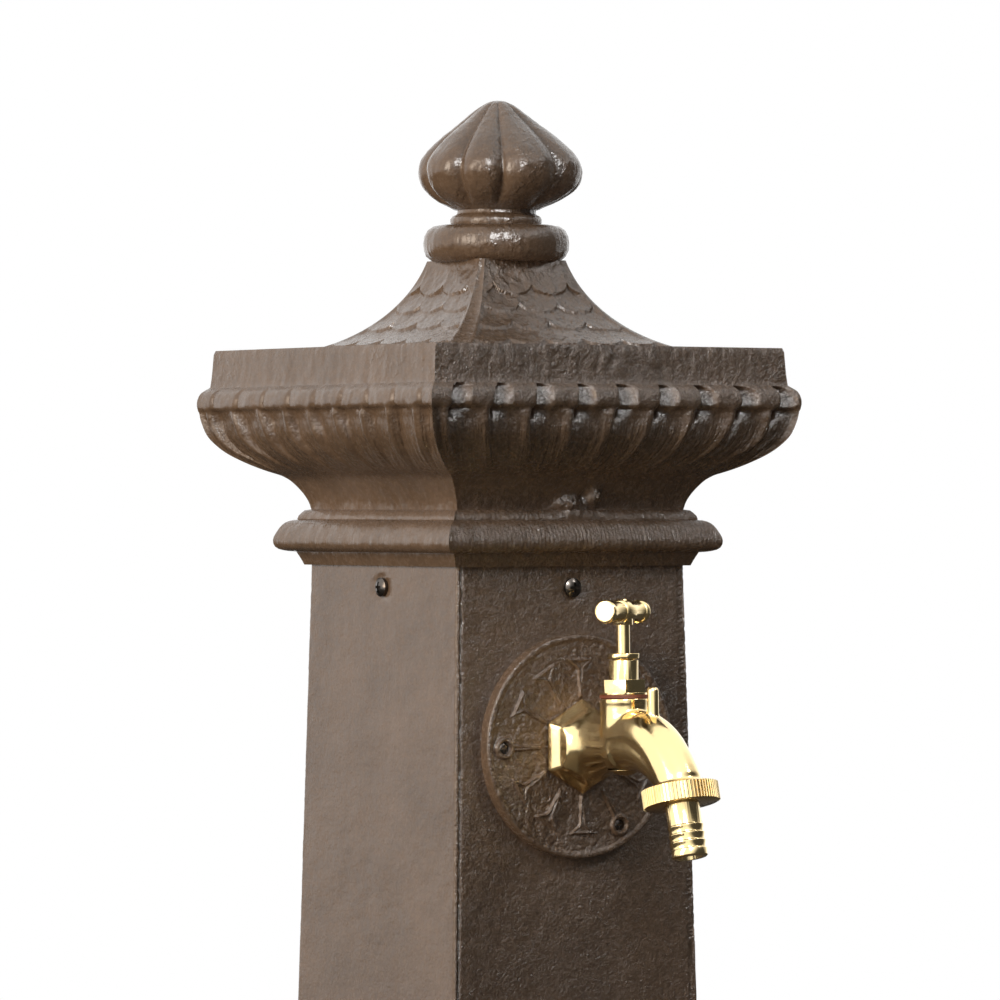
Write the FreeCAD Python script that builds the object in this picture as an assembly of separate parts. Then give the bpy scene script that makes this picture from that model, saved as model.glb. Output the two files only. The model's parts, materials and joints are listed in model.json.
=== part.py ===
import FreeCAD
import Part
import math
import os
from FreeCAD import Vector

# Garden fountain: square cast column with a roofed cap and a brass bib tap.
# Millimetres. +Z is up, the tap faces -Y, the origin is on the floor under the column's axis.

# Column and plinth
column_top = 800.0
plinth_height = 150.0
column_top_half = 57.6
column_slope = 0.0228
column_corner_radius = 3.0
column_inner_radius = 1.0
column_wall = 5.0
plinth_wall = 6.0
foot_half = 110.0
foot_height = 20.0
block_half = 88.0
block_bottom = 38.0
block_top = 112.0
anchor_inset = 11.0
anchor_hole_radius = 5.0

# Cap
roof_top_half = 22.0
roof_base_half = 60.0
roof_rise = 37.5
roof_sag = 9.5
hip_width_top = 1.7
hip_width_base = 10.0
slab_half_top = 87.8
slab_half_bottom = 89.2
slab_height = 16.0
bead_height = 9.0
step_half = 93.4
ovolo_half = 67.0
ovolo_height = 28.5
neck_half = 57.3
cavetto_height = 15.0
upper_fillet_half = 61.8
upper_fillet_height = 4.3
torus_half = 69.4
torus_height = 13.8
lower_fillet_half = 62.0
lower_fillet_height = 5.4
cap_wall = 5.0
moulding_crease = 1.0
spigot_depth = 24.0
spigot_wall = 4.0
spigot_gap = 0.4

# Finial
finial_ring_radius = 31.0
finial_ring_height = 15.0
finial_collar_radius = 19.4
finial_collar_height = 4.6
finial_neck_radius = 16.6
finial_neck_height = 2.0
onion_radius = 34.8
onion_height = 47.6
onion_lobes = 9
lobe_turn = 8.5  # degrees from the front face's middle to a groove
lobe_depth = 2.6
finial_stud_radius = 4.0
finial_stud_length = 36.0
finial_washer_radius = 9.0
finial_washer_thickness = 1.6

# Screws in the column, cap and plinth
screw_radius = 2.0
screw_head_radius = 4.0
screw_head_height = 2.6
screw_length = 11.0
screw_inset = 9.0
hole_gap = 0.3
thread_gap = 0.05
screw_seat = 0.3

# Rosette
rosette_radius = 47.0
rosette_thickness = 5.5
rosette_rim_width = 4.5
rosette_recess = 1.2
rosette_hub_radius = 19.0
rosette_boss_radius = 4.6
rosette_ridges = 12
ridge_inner = 21.0
ridge_outer = 36.5
ridge_height = 1.3
rosette_screw_circle = 38.5
rosette_screw_radius = 1.5
rosette_head_radius = 2.8
rosette_head_height = 1.9
rosette_head_seat = 1.0
ridge_flare = 5.5

# Tap
tap_drop = 75.5
flange_flats = 33.0
flange_thickness = 9.0
flange_cone = 5.5
neck_radius = 10.0
valve_reach = 37.0
chamber_radius = 9.8
chamber_bottom = -12.0
chamber_top = 20.4
chamber_bore = 7.2
seat_height = -2.6
seat_thickness = 1.8
seat_hole_radius = 4.2
spout_radius = 9.3
spout_bore = 5.0
spout_height = 2.5
spout_bend = 20.9
spout_straight = 18.2
outlet_lean = 13.5
lug_reach = 22.3
lug_radius = 2.5
lug_top = 25.0
shank_radius = 10.4
shank_bore = 6.5
shank_length = 30.0
lower_bore = 5.6
lower_floor = 2.6
channel_radius = 2.5
channel_run = 9.0
channel_drop = 4.5
channel_start = -2.5

# Bonnet, gland and spindle
bonnet_washer_thickness = 1.2
bonnet_washer_radius = 10.1
bonnet_flange_radius = 9.6
bonnet_flange_thickness = 1.0
bonnet_hex_flats = 17.0
bonnet_hex_height = 5.4
bonnet_barrel_radius = 6.15
bonnet_barrel_height = 8.0
bonnet_skirt = 9.0
packing_bore = 4.6
packing_depth = 6.0
packing_height = 2.8
gland_radius = 6.6
gland_flats = 12.2
gland_height = 2.4
gland_gap = 0.5
spindle_thread_radius = 4.0
spindle_radius = 2.8
spindle_shoulder = 4.5
spindle_rise = 1.4
running_gap = 0.06
valve_lift = 4.0
seat_gap = 0.1
jumper_radius = 5.8
jumper_washer_thickness = 2.0
jumper_thickness = 2.4
jumper_pin_radius = 1.9
jumper_pin_length = 7.0
jumper_rivet_radius = 1.5
handle_height = 56.2
handle_half_length = 17.0
handle_arm_radius = 4.2
handle_end_radius = 4.85
handle_end_length = 3.6
handle_hub_radius = 5.1
handle_hub_length = 8.5
handle_boss_radius = 4.2
handle_boss_drop = 5.5
handle_turn = 29.0
handle_screw_radius = 1.4
handle_screw_head = 2.5
handle_screw_length = 8.5
handle_screw_slot = 0.8
press_gap = 0.02

# Hose union
union_thread_radius = 13.1
union_thread_start = 1.6
union_thread_end = 5.45
union_nut_radius = 16.0
union_nut_start = 2.0
union_nut_end = 10.0
union_lip = 1.6
union_gap = 0.3
knurl_count = 60
knurl_depth = 0.5
washer_thickness = 1.45
tail_flange_radius = 12.4
tail_flange = 1.3
tail_radius = 7.1
tail_bore = 5.2
tail_end = 32.1
tail_ribs = 3
tail_rib_pitch = 3.3
tail_rib_height = 0.45
tail_ring_inset = 3.6
tail_ring_height = 0.35

# Water pipe inside
pipe_radius = 10.6
pipe_wall = 2.6
pipe_axis = -14.0
elbow_radius = 14.2
elbow_reach = 27.0
elbow_socket = 13.0
inlet_height = 62.0
inlet_reach = 22.0
back_nut_flats = 28.0
back_nut_thickness = 6.0
wall_washer_thickness = 1.5
wall_washer_radius = 16.0
end_groove_depth = 0.8
end_groove_width = 1.5
clip_height = 430.0
clip_width = 14.0
clip_thickness = 3.0
clip_plate = 40.0
clip_screw_inset = 8.0
clip_gap = 0.3

# Basin and drain
basin_half_width = 130.0
basin_depth = 150.0
basin_floor_share = 0.72
basin_wall = 6.0
basin_rim = 110.0
basin_bead = 5.0
basin_rim_height = 8.0
basin_floor = 38.0
pedestal_start = 4.0
pedestal_depth = 78.0
pedestal_half = 62.0
pedestal_wall = 7.0
basin_bolt_radius = 4.0
basin_bolt_flats = 13.0
basin_bolt_head = 5.5
basin_nut_thickness = 6.5
basin_bolt_spacing = 120.0
basin_bolt_height = 78.0
drain_radius = 30.0
drain_reach = 62.0
waste_radius = 12.0
waste_bore = 9.5
waste_flange = 20.0
waste_flange_thickness = 2.0
waste_tail = 26.0
waste_nut_flats = 34.0
waste_nut_thickness = 7.0
waste_washer_thickness = 2.0
grate_thickness = 3.0
grate_holes = 8
grate_hole_radius = 2.6
grate_slot_inner = 11.5
grate_slot_outer = 21.0
bridge_width = 4.0
bridge_height = 5.0
bridge_boss_radius = 3.6
bridge_boss_height = 7.0

# Worked out from the sizes above
cap_bottom = column_top
roof_base = (
    cap_bottom + lower_fillet_height + torus_height + upper_fillet_height
    + cavetto_height + ovolo_height + bead_height + slab_height
)
roof_top = roof_base + roof_rise
tap_height = column_top - tap_drop


def column_half(height):
    return column_top_half + column_slope * (column_top - height)


tap_face = column_half(tap_height)
valve_axis = tap_face + valve_reach
face_lean = math.degrees(math.atan(column_slope))
top_elbow_height = tap_height - (tap_face + pipe_axis) * column_slope
bonnet_base = chamber_top + bonnet_washer_thickness
hex_base = bonnet_base + bonnet_flange_thickness
barrel_base = hex_base + bonnet_hex_height
barrel_top = barrel_base + bonnet_barrel_height
packing_floor = barrel_top - packing_depth
spindle_thread_top = packing_floor - valve_lift - spindle_shoulder
spindle_top = handle_height + spindle_rise
drain_floor = basin_floor + basin_wall
drain_y = -(block_half + drain_reach)


def outline_edges(points):
    # A point is (x, z), or (x, z, mx, mz) where the run to it is an arc through (mx, mz).
    edges = []
    for start, end in zip(points, points[1:]):
        a = Vector(start[0], 0, start[1])
        b = Vector(end[0], 0, end[1])
        if len(end) == 4:
            edges.append(Part.Arc(a, Vector(end[2], 0, end[3]), b).toShape())
        else:
            edges.append(Part.LineSegment(a, b).toShape())
    return edges


def turned(points):
    # A closed outline of (radius, height) turned about Z.
    edges = outline_edges(list(points) + [points[0][:2]])
    return Part.Face(Part.Wire(edges)).revolve(Vector(), Vector(0, 0, 1), 360)


def crown(radius, shoulder, top):
    # The outline point at the top of a round crown, reached by an arc centred on the axis.
    rise = top - shoulder
    ball = (radius ** 2 + rise ** 2) / (2 * rise)
    half = math.asin(radius / ball) / 2
    return (0, top, ball * math.sin(half), top - ball * (1 - math.cos(half)))


def rod(radius, bottom, top):
    return Part.makeCylinder(radius, top - bottom, Vector(0, 0, bottom))


def tube(outer, inner, bottom, top):
    return rod(outer, bottom, top).cut(rod(inner, bottom - 1, top + 1))


def hexagon(flats, bottom, top, corner=0.0):
    # A corner points along +X when corner is 0.
    radius = flats / math.sqrt(3)
    turn = [math.radians(corner + 60 * i) for i in range(7)]
    wire = Part.makePolygon([Vector(radius * math.cos(a), radius * math.sin(a), bottom) for a in turn])
    return Part.Face(wire).extrude(Vector(0, 0, top - bottom))


def mitred(points, turn=0.0):
    # A square form whose half width follows an outline of (half, height), with mitred corners.
    left = []
    back = list(reversed(points))
    for index, point in enumerate(back):
        here = (-point[0], point[1])
        if index > 0 and len(back[index - 1]) == 4:
            here = here + (-back[index - 1][2], back[index - 1][3])
        left.append(here)
    edges = outline_edges(list(points) + left + [points[0][:2]])
    face = Part.Face(Part.Wire(edges))
    span = 2 * face.BoundBox.XMax
    face.translate(Vector(0, -span, 0))
    along_y = face.extrude(Vector(0, 2 * span, 0))
    along_x = along_y.copy()
    along_x.rotate(Vector(), Vector(0, 0, 1), 90)
    form = along_y.common(along_x)
    form.rotate(Vector(), Vector(0, 0, 1), turn)
    return form


def column_form(inset, corner_radius):
    # The tapering square shaft, drawn in by inset on each side.
    shaft = mitred([
        (column_half(plinth_height) - inset, plinth_height), (column_half(column_top) - inset, column_top),
    ])
    corners = [edge for edge in shaft.Edges if edge.BoundBox.ZLength > plinth_height]
    return shaft.makeFillet(corner_radius, corners)


def facing(shape, distance, height, side=0.0, across=0.0):
    # Turns a shape built along +Z to point out of the front face, or of the face side degrees round.
    placed = shape.copy()
    placed.rotate(Vector(), Vector(1, 0, 0), 90)
    placed.translate(Vector(across, -distance, height))
    placed.rotate(Vector(), Vector(0, 0, 1), side)
    return placed


def at(shape, x, y, z):
    placed = shape.copy()
    placed.translate(Vector(x, y, z))
    return placed


def on_face(shape):
    # From a level place at the tap to one square to the front face, which leans back.
    placed = shape.copy()
    placed.rotate(Vector(0, -tap_face, tap_height), Vector(1, 0, 0), -face_lean)
    return placed


def fused(shapes):
    whole = shapes[0]
    for shape in shapes[1:]:
        whole = whole.fuse(shape)
    return whole.removeSplitter()


def pan_screw(radius, head_radius, head_height, length):
    # Head outwards along +Z, its seat at height 0, with a cross recess.
    shoulder = head_height * 0.5
    head = turned([
        (0, 0), (head_radius, 0), (head_radius, shoulder), crown(head_radius, shoulder, head_height),
    ])
    slot = head_radius * 0.28
    span = head_radius * 1.15
    recess = Part.makeBox(span, slot, head_height, Vector(-span / 2, -slot / 2, head_height * 0.35))
    cross = recess.copy()
    cross.rotate(Vector(), Vector(0, 0, 1), 90)
    return head.fuse(rod(radius, -length, 0)).cut(recess.fuse(cross)).removeSplitter()


# Column
def make_column():
    column = column_form(0, column_corner_radius).cut(column_form(column_wall, column_inner_radius))
    for quarter in range(4):
        for height in (column_top - screw_inset, plinth_height + screw_inset):
            hole = rod(screw_radius + hole_gap, -column_wall - 3, 3)
            seat = rod(screw_head_radius + hole_gap, -screw_seat, 3)
            column = column.cut(facing(hole.fuse(seat), column_half(height), height, 90 * quarter))
    hole = rod(shank_radius + hole_gap, -column_wall - 3, 3)
    column = column.cut(on_face(facing(hole, tap_face, tap_height)))
    for x, z in rosette_screw_places():
        hole = rod(rosette_screw_radius + 0.1, -column_wall - 3, 3)
        column = column.cut(on_face(facing(hole, tap_face, tap_height + z, 0, x)))
    for x in clip_screw_places():
        height = clip_height
        hole = rod(screw_radius + hole_gap, -column_wall - 3, 3)
        seat = rod(screw_head_radius + hole_gap, -screw_seat, 3)
        column = column.cut(facing(hole.fuse(seat), column_half(height), height, 180, x))
    return column


def corner_screws(height):
    screw = pan_screw(screw_radius, screw_head_radius, screw_head_height, screw_length)
    out = column_half(height) - screw_seat
    return Part.makeCompound([facing(screw, out, height, 90 * quarter) for quarter in range(4)])


# Plinth
def make_plinth():
    moulding = block_top + 6
    outer = mitred([
        (foot_half, 0), (foot_half, foot_height), (foot_half - 7, foot_height),
        (block_half, block_bottom, foot_half - 17, foot_height + 6), (block_half, block_top),
        (block_half + 3, block_top), (block_half + 3, moulding),
        (block_half - 6, moulding + 14, block_half + 4, moulding + 9),
        (block_half - 9, moulding + 14), (block_half - 9, plinth_height - 6),
        (column_half(plinth_height) + 5, plinth_height - 6), (column_half(plinth_height) + 5, plinth_height),
    ])
    spigot_half = column_half(plinth_height) - column_wall - spigot_gap - column_slope * spigot_depth
    spigot_top = plinth_height + spigot_depth
    spigot = mitred([(spigot_half, plinth_height - 8), (spigot_half, spigot_top)])
    throat = spigot_half - spigot_wall
    inside = mitred([
        (block_half - plinth_wall, -1), (block_half - plinth_wall, block_top),
        (throat, plinth_height - plinth_wall), (throat, spigot_top + 1),
    ])
    plinth = outer.fuse(spigot).cut(inside)
    for x in (-1, 1):
        for y in (-1, 1):
            spot = foot_half - anchor_inset
            hole = rod(anchor_hole_radius, -1, foot_height + 10)
            plinth = plinth.cut(at(hole, x * spot, y * spot, 0))
    for quarter in range(4):
        height = plinth_height + screw_inset
        hole = rod(screw_radius + thread_gap, -screw_length - 4, 0)
        plinth = plinth.cut(facing(hole, column_half(height), height, 90 * quarter))
    for x in basin_bolt_places():
        hole = rod(basin_bolt_radius + hole_gap, -plinth_wall - 2, 2)
        plinth = plinth.cut(facing(hole, block_half, basin_bolt_height, 0, x))
    inlet = rod(shank_radius + hole_gap, -plinth_wall - 2, 2)
    return plinth.cut(facing(inlet, block_half, inlet_height, 180)).removeSplitter()


# Cap and its fixing
def straight_roof_half(rise):
    # Half width at a height above the slab, if the roof were not hollow.
    return roof_base_half + (roof_top_half - roof_base_half) * rise / roof_rise


def make_cap():
    fillet = cap_bottom + lower_fillet_height
    torus = fillet + torus_height
    neck = torus + upper_fillet_height
    cavetto = neck + cavetto_height
    step = cavetto + ovolo_height
    slab = step + bead_height
    torus_foot = fillet + torus_height * 0.28
    torus_shoulder = torus - torus_height * 0.16
    body = mitred([
        (lower_fillet_half - moulding_crease, cap_bottom), (lower_fillet_half, fillet),
        (torus_half - 2.5, torus_foot, torus_half - 4.4, fillet + torus_height * 0.08),
        (torus_half - 4.5, torus_shoulder, torus_half, (torus_foot + torus_shoulder) / 2 + 0.5),
        (upper_fillet_half, torus - moulding_crease), (upper_fillet_half, torus),
        (upper_fillet_half - 2 * moulding_crease, neck), (neck_half, neck),
        (ovolo_half, cavetto, neck_half + 1.6, neck + cavetto_height * 0.62),
        (step_half, step, step_half - 6.5, cavetto + ovolo_height * 0.36),
        (step_half - 2, step + bead_height * 0.35),
        (slab_half_bottom, slab, step_half - 2.2, step + bead_height * 0.7),
        (slab_half_top, roof_base),
    ])
    middle = roof_rise * 0.42
    middle_half = straight_roof_half(middle) - roof_sag
    roof = mitred([
        (roof_base_half, roof_base - 1), (roof_base_half, roof_base),
        (roof_top_half, roof_top, middle_half, roof_base + middle),
    ])
    root_two = math.sqrt(2)
    hip_middle = hip_width_base + (hip_width_top - hip_width_base) * middle / roof_rise
    hips = mitred([
        (root_two * roof_base_half - hip_width_base / 2, roof_base - 2),
        (root_two * roof_base_half - hip_width_base / 2, roof_base),
        (root_two * roof_top_half - hip_width_top / 2, roof_top,
         root_two * middle_half - hip_middle / 2, roof_base + middle),
    ], 45)
    spigot_half = column_top_half - column_wall - spigot_gap
    spigot_bottom = cap_bottom - spigot_depth
    spigot = mitred([(spigot_half, spigot_bottom), (spigot_half, cap_bottom + 3)])
    throat = spigot_half - spigot_wall
    inside = mitred([
        (throat, spigot_bottom - 1), (throat, neck), (neck_half - cap_wall, cavetto - 3),
        (ovolo_half - cap_wall, cavetto + 3), (step_half - 2 * cap_wall, step - 3),
        (slab_half_top - cap_wall, roof_base - cap_wall), (roof_base_half - cap_wall, roof_base - cap_wall),
        (middle_half - cap_wall, roof_base + middle - cap_wall),
        (roof_top_half - cap_wall / 2, roof_top - cap_wall),
    ])
    cap = body.fuse(roof.common(hips)).fuse(spigot).cut(inside)
    cap = cap.cut(rod(finial_stud_radius + hole_gap, roof_top - cap_wall - 1, roof_top + 1))
    for quarter in range(4):
        height = column_top - screw_inset
        hole = rod(screw_radius + thread_gap, -screw_length - 4, 0)
        cap = cap.cut(facing(hole, column_half(height), height, 90 * quarter))
    return cap.removeSplitter()


def lobed_ring(radius, height, depth):
    # A closed wire of outward arcs that meet in the grooves between the lobes.
    edges = []
    step = 2 * math.pi / onion_lobes
    groove = radius - depth
    for lobe in range(onion_lobes):
        start = lobe * step + math.radians(lobe_turn - 90)
        points = []
        for share, size in ((0, groove), (0.5, radius), (1, groove)):
            angle = start + share * step
            points.append(Vector(size * math.cos(angle), size * math.sin(angle), height))
        edges.append(Part.Arc(*points).toShape())
    return Part.Wire(edges)


def make_finial():
    ring_top = roof_top + finial_ring_height
    collar_top = ring_top + finial_collar_height
    onion_bottom = collar_top + finial_neck_height
    base = turned([
        (0, roof_top), (finial_ring_radius - 3.5, roof_top),
        (finial_ring_radius - 3.5, ring_top, finial_ring_radius, (roof_top + ring_top) / 2),
        (finial_collar_radius, ring_top), (finial_collar_radius, collar_top - 1.2),
        (finial_collar_radius - 1.2, collar_top, finial_collar_radius - 0.35, collar_top - 0.35),
        (finial_neck_radius, collar_top), (finial_neck_radius, onion_bottom + 0.5), (0, onion_bottom + 0.5),
    ])
    # Shares of the onion's radius and height, from its base to its tip.
    shares = [
        (0.50, 0.0), (0.70, 0.055), (0.88, 0.16), (1.0, 0.345), (0.93, 0.49),
        (0.72, 0.64), (0.50, 0.765), (0.27, 0.89), (0.10, 0.97), (0.03, 1.0),
    ]
    rings = [
        lobed_ring(onion_radius * r, onion_bottom + onion_height * h, lobe_depth * min(1, r * 1.1))
        for r, h in shares
    ]
    onion = Part.makeLoft(rings, True, False)
    hole = rod(finial_stud_radius + thread_gap, roof_top - 1, roof_top + finial_stud_length / 2)
    return base.fuse(onion).cut(hole)


def make_finial_fixings():
    ceiling = roof_top - cap_wall
    half = finial_stud_length / 2
    stud = rod(finial_stud_radius, roof_top - half, roof_top + half - 0.5)
    nut_top = ceiling - finial_washer_thickness
    washer = tube(finial_washer_radius, finial_stud_radius + hole_gap, nut_top, ceiling)
    nut = hexagon(basin_bolt_flats, nut_top - basin_nut_thickness, nut_top)
    nut = nut.cut(rod(finial_stud_radius + thread_gap, nut_top - basin_nut_thickness - 1, nut_top + 1))
    return stud, washer, nut


# Rosette
def rosette_screw_places():
    angles = [math.radians(a) for a in (180, 60, -60)]
    return [(rosette_screw_circle * math.cos(a), rosette_screw_circle * math.sin(a)) for a in angles]


def make_rosette():
    # Built along +Z with its front at rosette_thickness; the back is trimmed to the sloping column.
    field = rosette_thickness - rosette_recess
    slack = 3.0
    sunk = 0.5
    rim = rosette_radius - rosette_rim_width
    disc = turned([
        (shank_radius + hole_gap, -slack), (rosette_radius, -slack), (rosette_radius, field + 0.2),
        (rosette_radius - 1, rosette_thickness, rosette_radius - 0.3, rosette_thickness - 0.3),
        (rim, rosette_thickness), (rim - rosette_recess, field), (rosette_hub_radius, field),
        (rosette_hub_radius, rosette_thickness),
        (shank_radius + hole_gap, rosette_thickness),
    ])
    ridges = []
    for number in range(rosette_ridges):
        degrees = 360.0 / rosette_ridges * number
        has_screw = number % 4 == 2
        end = rosette_screw_circle - 4 if has_screw else ridge_outer
        half = 1.0 if has_screw else ridge_flare
        turn = FreeCAD.Rotation(Vector(0, 0, 1), degrees)
        corners = [
            (ridge_inner, -0.8), (end - 6, -1.2), (end, -half), (end + 0.8, 0), (end, half), (end - 6, 1.2),
            (ridge_inner, 0.8),
        ]
        points = [turn.multVec(Vector(x, y, field - sunk)) for x, y in corners]
        ridge = Part.Face(Part.makePolygon(points + [points[0]]))
        ridges.append(ridge.extrude(Vector(0, 0, ridge_height + sunk)))
    boss = rod(rosette_boss_radius, field - sunk, rosette_thickness)
    bosses = [at(boss, x, y, 0) for x, y in rosette_screw_places()]
    rosette = disc.fuse(ridges + bosses)
    for x, y in rosette_screw_places():
        rosette = rosette.cut(at(rod(rosette_screw_radius + hole_gap, -slack - 1, 9), x, y, 0))
        rosette = rosette.cut(at(rod(rosette_head_radius + hole_gap, field - rosette_head_seat, 9), x, y, 0))
    rosette = on_face(facing(rosette, tap_face, tap_height))
    return rosette.cut(column_form(0, column_corner_radius)).removeSplitter()


def make_rosette_screws():
    seat = rosette_thickness - rosette_recess - rosette_head_seat
    screw = pan_screw(rosette_screw_radius, rosette_head_radius, rosette_head_height, seat + column_wall + 3)
    return Part.makeCompound([
        on_face(facing(screw, tap_face + seat, tap_height + z, 0, x)) for x, z in rosette_screw_places()
    ])


# Tap
def in_tap(shape):
    # From the tap's own place, on the valve's axis at the inlet's height, to the fountain.
    return on_face(at(shape, 0, -valve_axis, tap_height))


def to_outlet(shape):
    # From a shape along +Z to the end of the spout's bend, leaning outwards.
    turned_by = math.radians(90 - outlet_lean)
    out = spout_straight + spout_bend * math.sin(turned_by)
    drop = spout_bend * (1 - math.cos(turned_by))
    placed = shape.copy()
    placed.rotate(Vector(), Vector(1, 0, 0), 180 - outlet_lean)
    placed.translate(Vector(0, -out, spout_height - drop))
    return placed


def at_outlet(shape):
    return in_tap(to_outlet(shape))


def spout_form(radius, end):
    # Straight out of the chamber, round the bend, then on along the outlet to end.
    straight = facing(rod(radius, 0, spout_straight), 0, spout_height)
    circle = Part.Wire([Part.makeCircle(radius, Vector(0, -spout_straight, spout_height), Vector(0, 1, 0))])
    pivot = Vector(0, -spout_straight, spout_height - spout_bend)
    bend = Part.Face(circle).revolve(pivot, Vector(1, 0, 0), 90 - outlet_lean)
    return fused([straight, bend, to_outlet(rod(radius, 0, end))])


def make_tap_body():
    back = valve_reach - rosette_thickness
    front = back - flange_thickness
    cone = front - flange_cone
    along = [
        hexagon(flange_flats, -back, -front, 30),
        turned([
            (0, -front), (flange_flats / 2 - 0.4, -front),
            (neck_radius, -cone, neck_radius + 1.8, -front + 1.9), (0, -cone),
        ]),
        rod(neck_radius, -cone - 0.5, 0),
        rod(shank_radius, -back - shank_length, -back),
    ]
    inlet = facing(fused(along), 0, 0)
    ball = chamber_bottom + chamber_radius
    chamber = turned([
        (0, chamber_bottom), (chamber_radius, ball, chamber_radius * 0.7071, ball - chamber_radius * 0.7071),
        (chamber_radius, chamber_top - 3), (bonnet_washer_radius, chamber_top - 2),
        (bonnet_washer_radius, chamber_top), (0, chamber_top),
    ])
    lug = at(turned([
        (0, 0), (lug_radius, 0), (lug_radius, lug_top - 1), crown(lug_radius, lug_top - 1, lug_top),
    ]), 0, -lug_reach, 0)
    collar_base = union_thread_start - 0.6
    collar = to_outlet(turned([
        (0, collar_base), (spout_radius, collar_base), (union_thread_radius, union_thread_start),
        (union_thread_radius, union_thread_end), (0, union_thread_end),
    ]))
    body = fused([inlet, chamber, spout_form(spout_radius, collar_base), lug, collar])
    seat_bottom = seat_height - seat_thickness
    near_end = chamber_bore + channel_run * 0.7
    waterway = facing(rod(shank_bore, -back - shank_length - 1, -near_end), 0, 0)
    channel = rod(channel_radius, 0, math.hypot(channel_run, channel_drop))
    channel.rotate(Vector(), Vector(1, 0, 0), 90 + math.degrees(math.atan2(channel_drop, channel_run)))
    channel = at(channel, 0, near_end, channel_start)
    cuts = [
        rod(chamber_bore, seat_height, chamber_top + 1),
        rod(seat_hole_radius, seat_bottom - 1, seat_height + 1),
        rod(lower_bore, chamber_bottom + lower_floor, seat_bottom),
        waterway, channel, spout_form(spout_bore, union_thread_end + 1),
    ]
    for cut in cuts:
        body = body.cut(cut)
    return in_tap(body.removeSplitter())


def make_bonnet():
    outer = fused([
        rod(chamber_bore - thread_gap, chamber_top - bonnet_skirt, bonnet_base + 0.2),
        rod(bonnet_flange_radius, bonnet_base, hex_base),
        hexagon(bonnet_hex_flats, hex_base, barrel_base),
        rod(bonnet_barrel_radius, barrel_base, barrel_top),
    ])
    for cut in (
        rod(spindle_thread_radius + running_gap, 0, spindle_thread_top + valve_lift + 0.5),
        rod(spindle_radius + running_gap, 0, barrel_top + 1),
        rod(packing_bore, packing_floor, barrel_top + 1),
    ):
        outer = outer.cut(cut)
    return in_tap(outer)


def make_gland():
    fit = packing_bore - thread_gap
    packing_top = packing_floor + packing_height
    packing = tube(fit, spindle_radius + running_gap, packing_floor, packing_top)
    flange = barrel_top + gland_gap
    top = flange + gland_height
    head = hexagon(gland_flats, flange, top, 15).common(rod(gland_radius, flange, top))
    nut = rod(fit, packing_top, flange).fuse(head)
    nut = nut.cut(rod(spindle_radius + running_gap, 0, top + 1))
    return in_tap(packing), in_tap(nut.removeSplitter())


def make_valve():
    face = seat_height + seat_gap
    disc = face + jumper_washer_thickness
    top = disc + jumper_thickness
    washer = tube(jumper_radius, jumper_rivet_radius, face, disc)
    jumper = fused([
        rod(jumper_rivet_radius - thread_gap, face + 0.3, disc),
        rod(jumper_radius, disc, top), rod(jumper_pin_radius, top, top + jumper_pin_length),
    ])
    spindle = fused([
        rod(spindle_thread_radius, top + 0.2, spindle_thread_top),
        rod(spindle_radius, spindle_thread_top, spindle_top),
    ])
    spindle = spindle.cut(rod(jumper_pin_radius + running_gap, top, top + jumper_pin_length + 0.6))
    tapped = rod(handle_screw_radius + thread_gap, spindle_top - handle_screw_length - 0.5, spindle_top + 1)
    spindle = spindle.cut(tapped)
    return in_tap(washer), in_tap(jumper), in_tap(spindle)


def make_handle():
    # The bar is built along +Z and laid down, then turned to its place about the spindle.
    half = handle_half_length
    inner = half - handle_end_length
    hub = handle_hub_length / 2
    arm = turned([
        (0, 0), (handle_hub_radius, 0), (handle_hub_radius, hub - 0.8), (handle_hub_radius - 0.8, hub),
        (handle_arm_radius, hub), (handle_arm_radius, inner), (handle_end_radius, inner + 0.5),
        (handle_end_radius, half - 0.9),
        (handle_end_radius - 0.9, half, handle_end_radius - 0.25, half - 0.25), (0, half),
    ])
    other = arm.copy()
    other.rotate(Vector(), Vector(1, 0, 0), 180)
    bar = arm.fuse(other)
    bar.rotate(Vector(), Vector(0, 1, 0), 90)
    bar = at(bar, 0, 0, handle_height)
    handle = fused([bar, rod(handle_boss_radius, handle_height - handle_boss_drop, handle_height)])
    handle = handle.cut(rod(spindle_radius + press_gap, handle_height - 9, spindle_top))
    handle = handle.cut(rod(handle_screw_radius + hole_gap, spindle_top - 1, handle_height + 9))
    seat = spindle_top + 0.9
    handle = handle.cut(rod(handle_screw_head + hole_gap, seat, handle_height + 9))
    screw = rod(handle_screw_radius, spindle_top - handle_screw_length, seat)
    screw = screw.fuse(rod(handle_screw_head, seat, seat + 1.8))
    slot_corner = Vector(-handle_screw_head - 1, -handle_screw_slot / 2, seat + 1.0)
    screw = screw.cut(Part.makeBox(2 * handle_screw_head + 2, handle_screw_slot, 1.4, slot_corner))
    handle.rotate(Vector(), Vector(0, 0, 1), handle_turn)
    screw.rotate(Vector(), Vector(0, 0, 1), handle_turn)
    return in_tap(handle), in_tap(screw)


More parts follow.
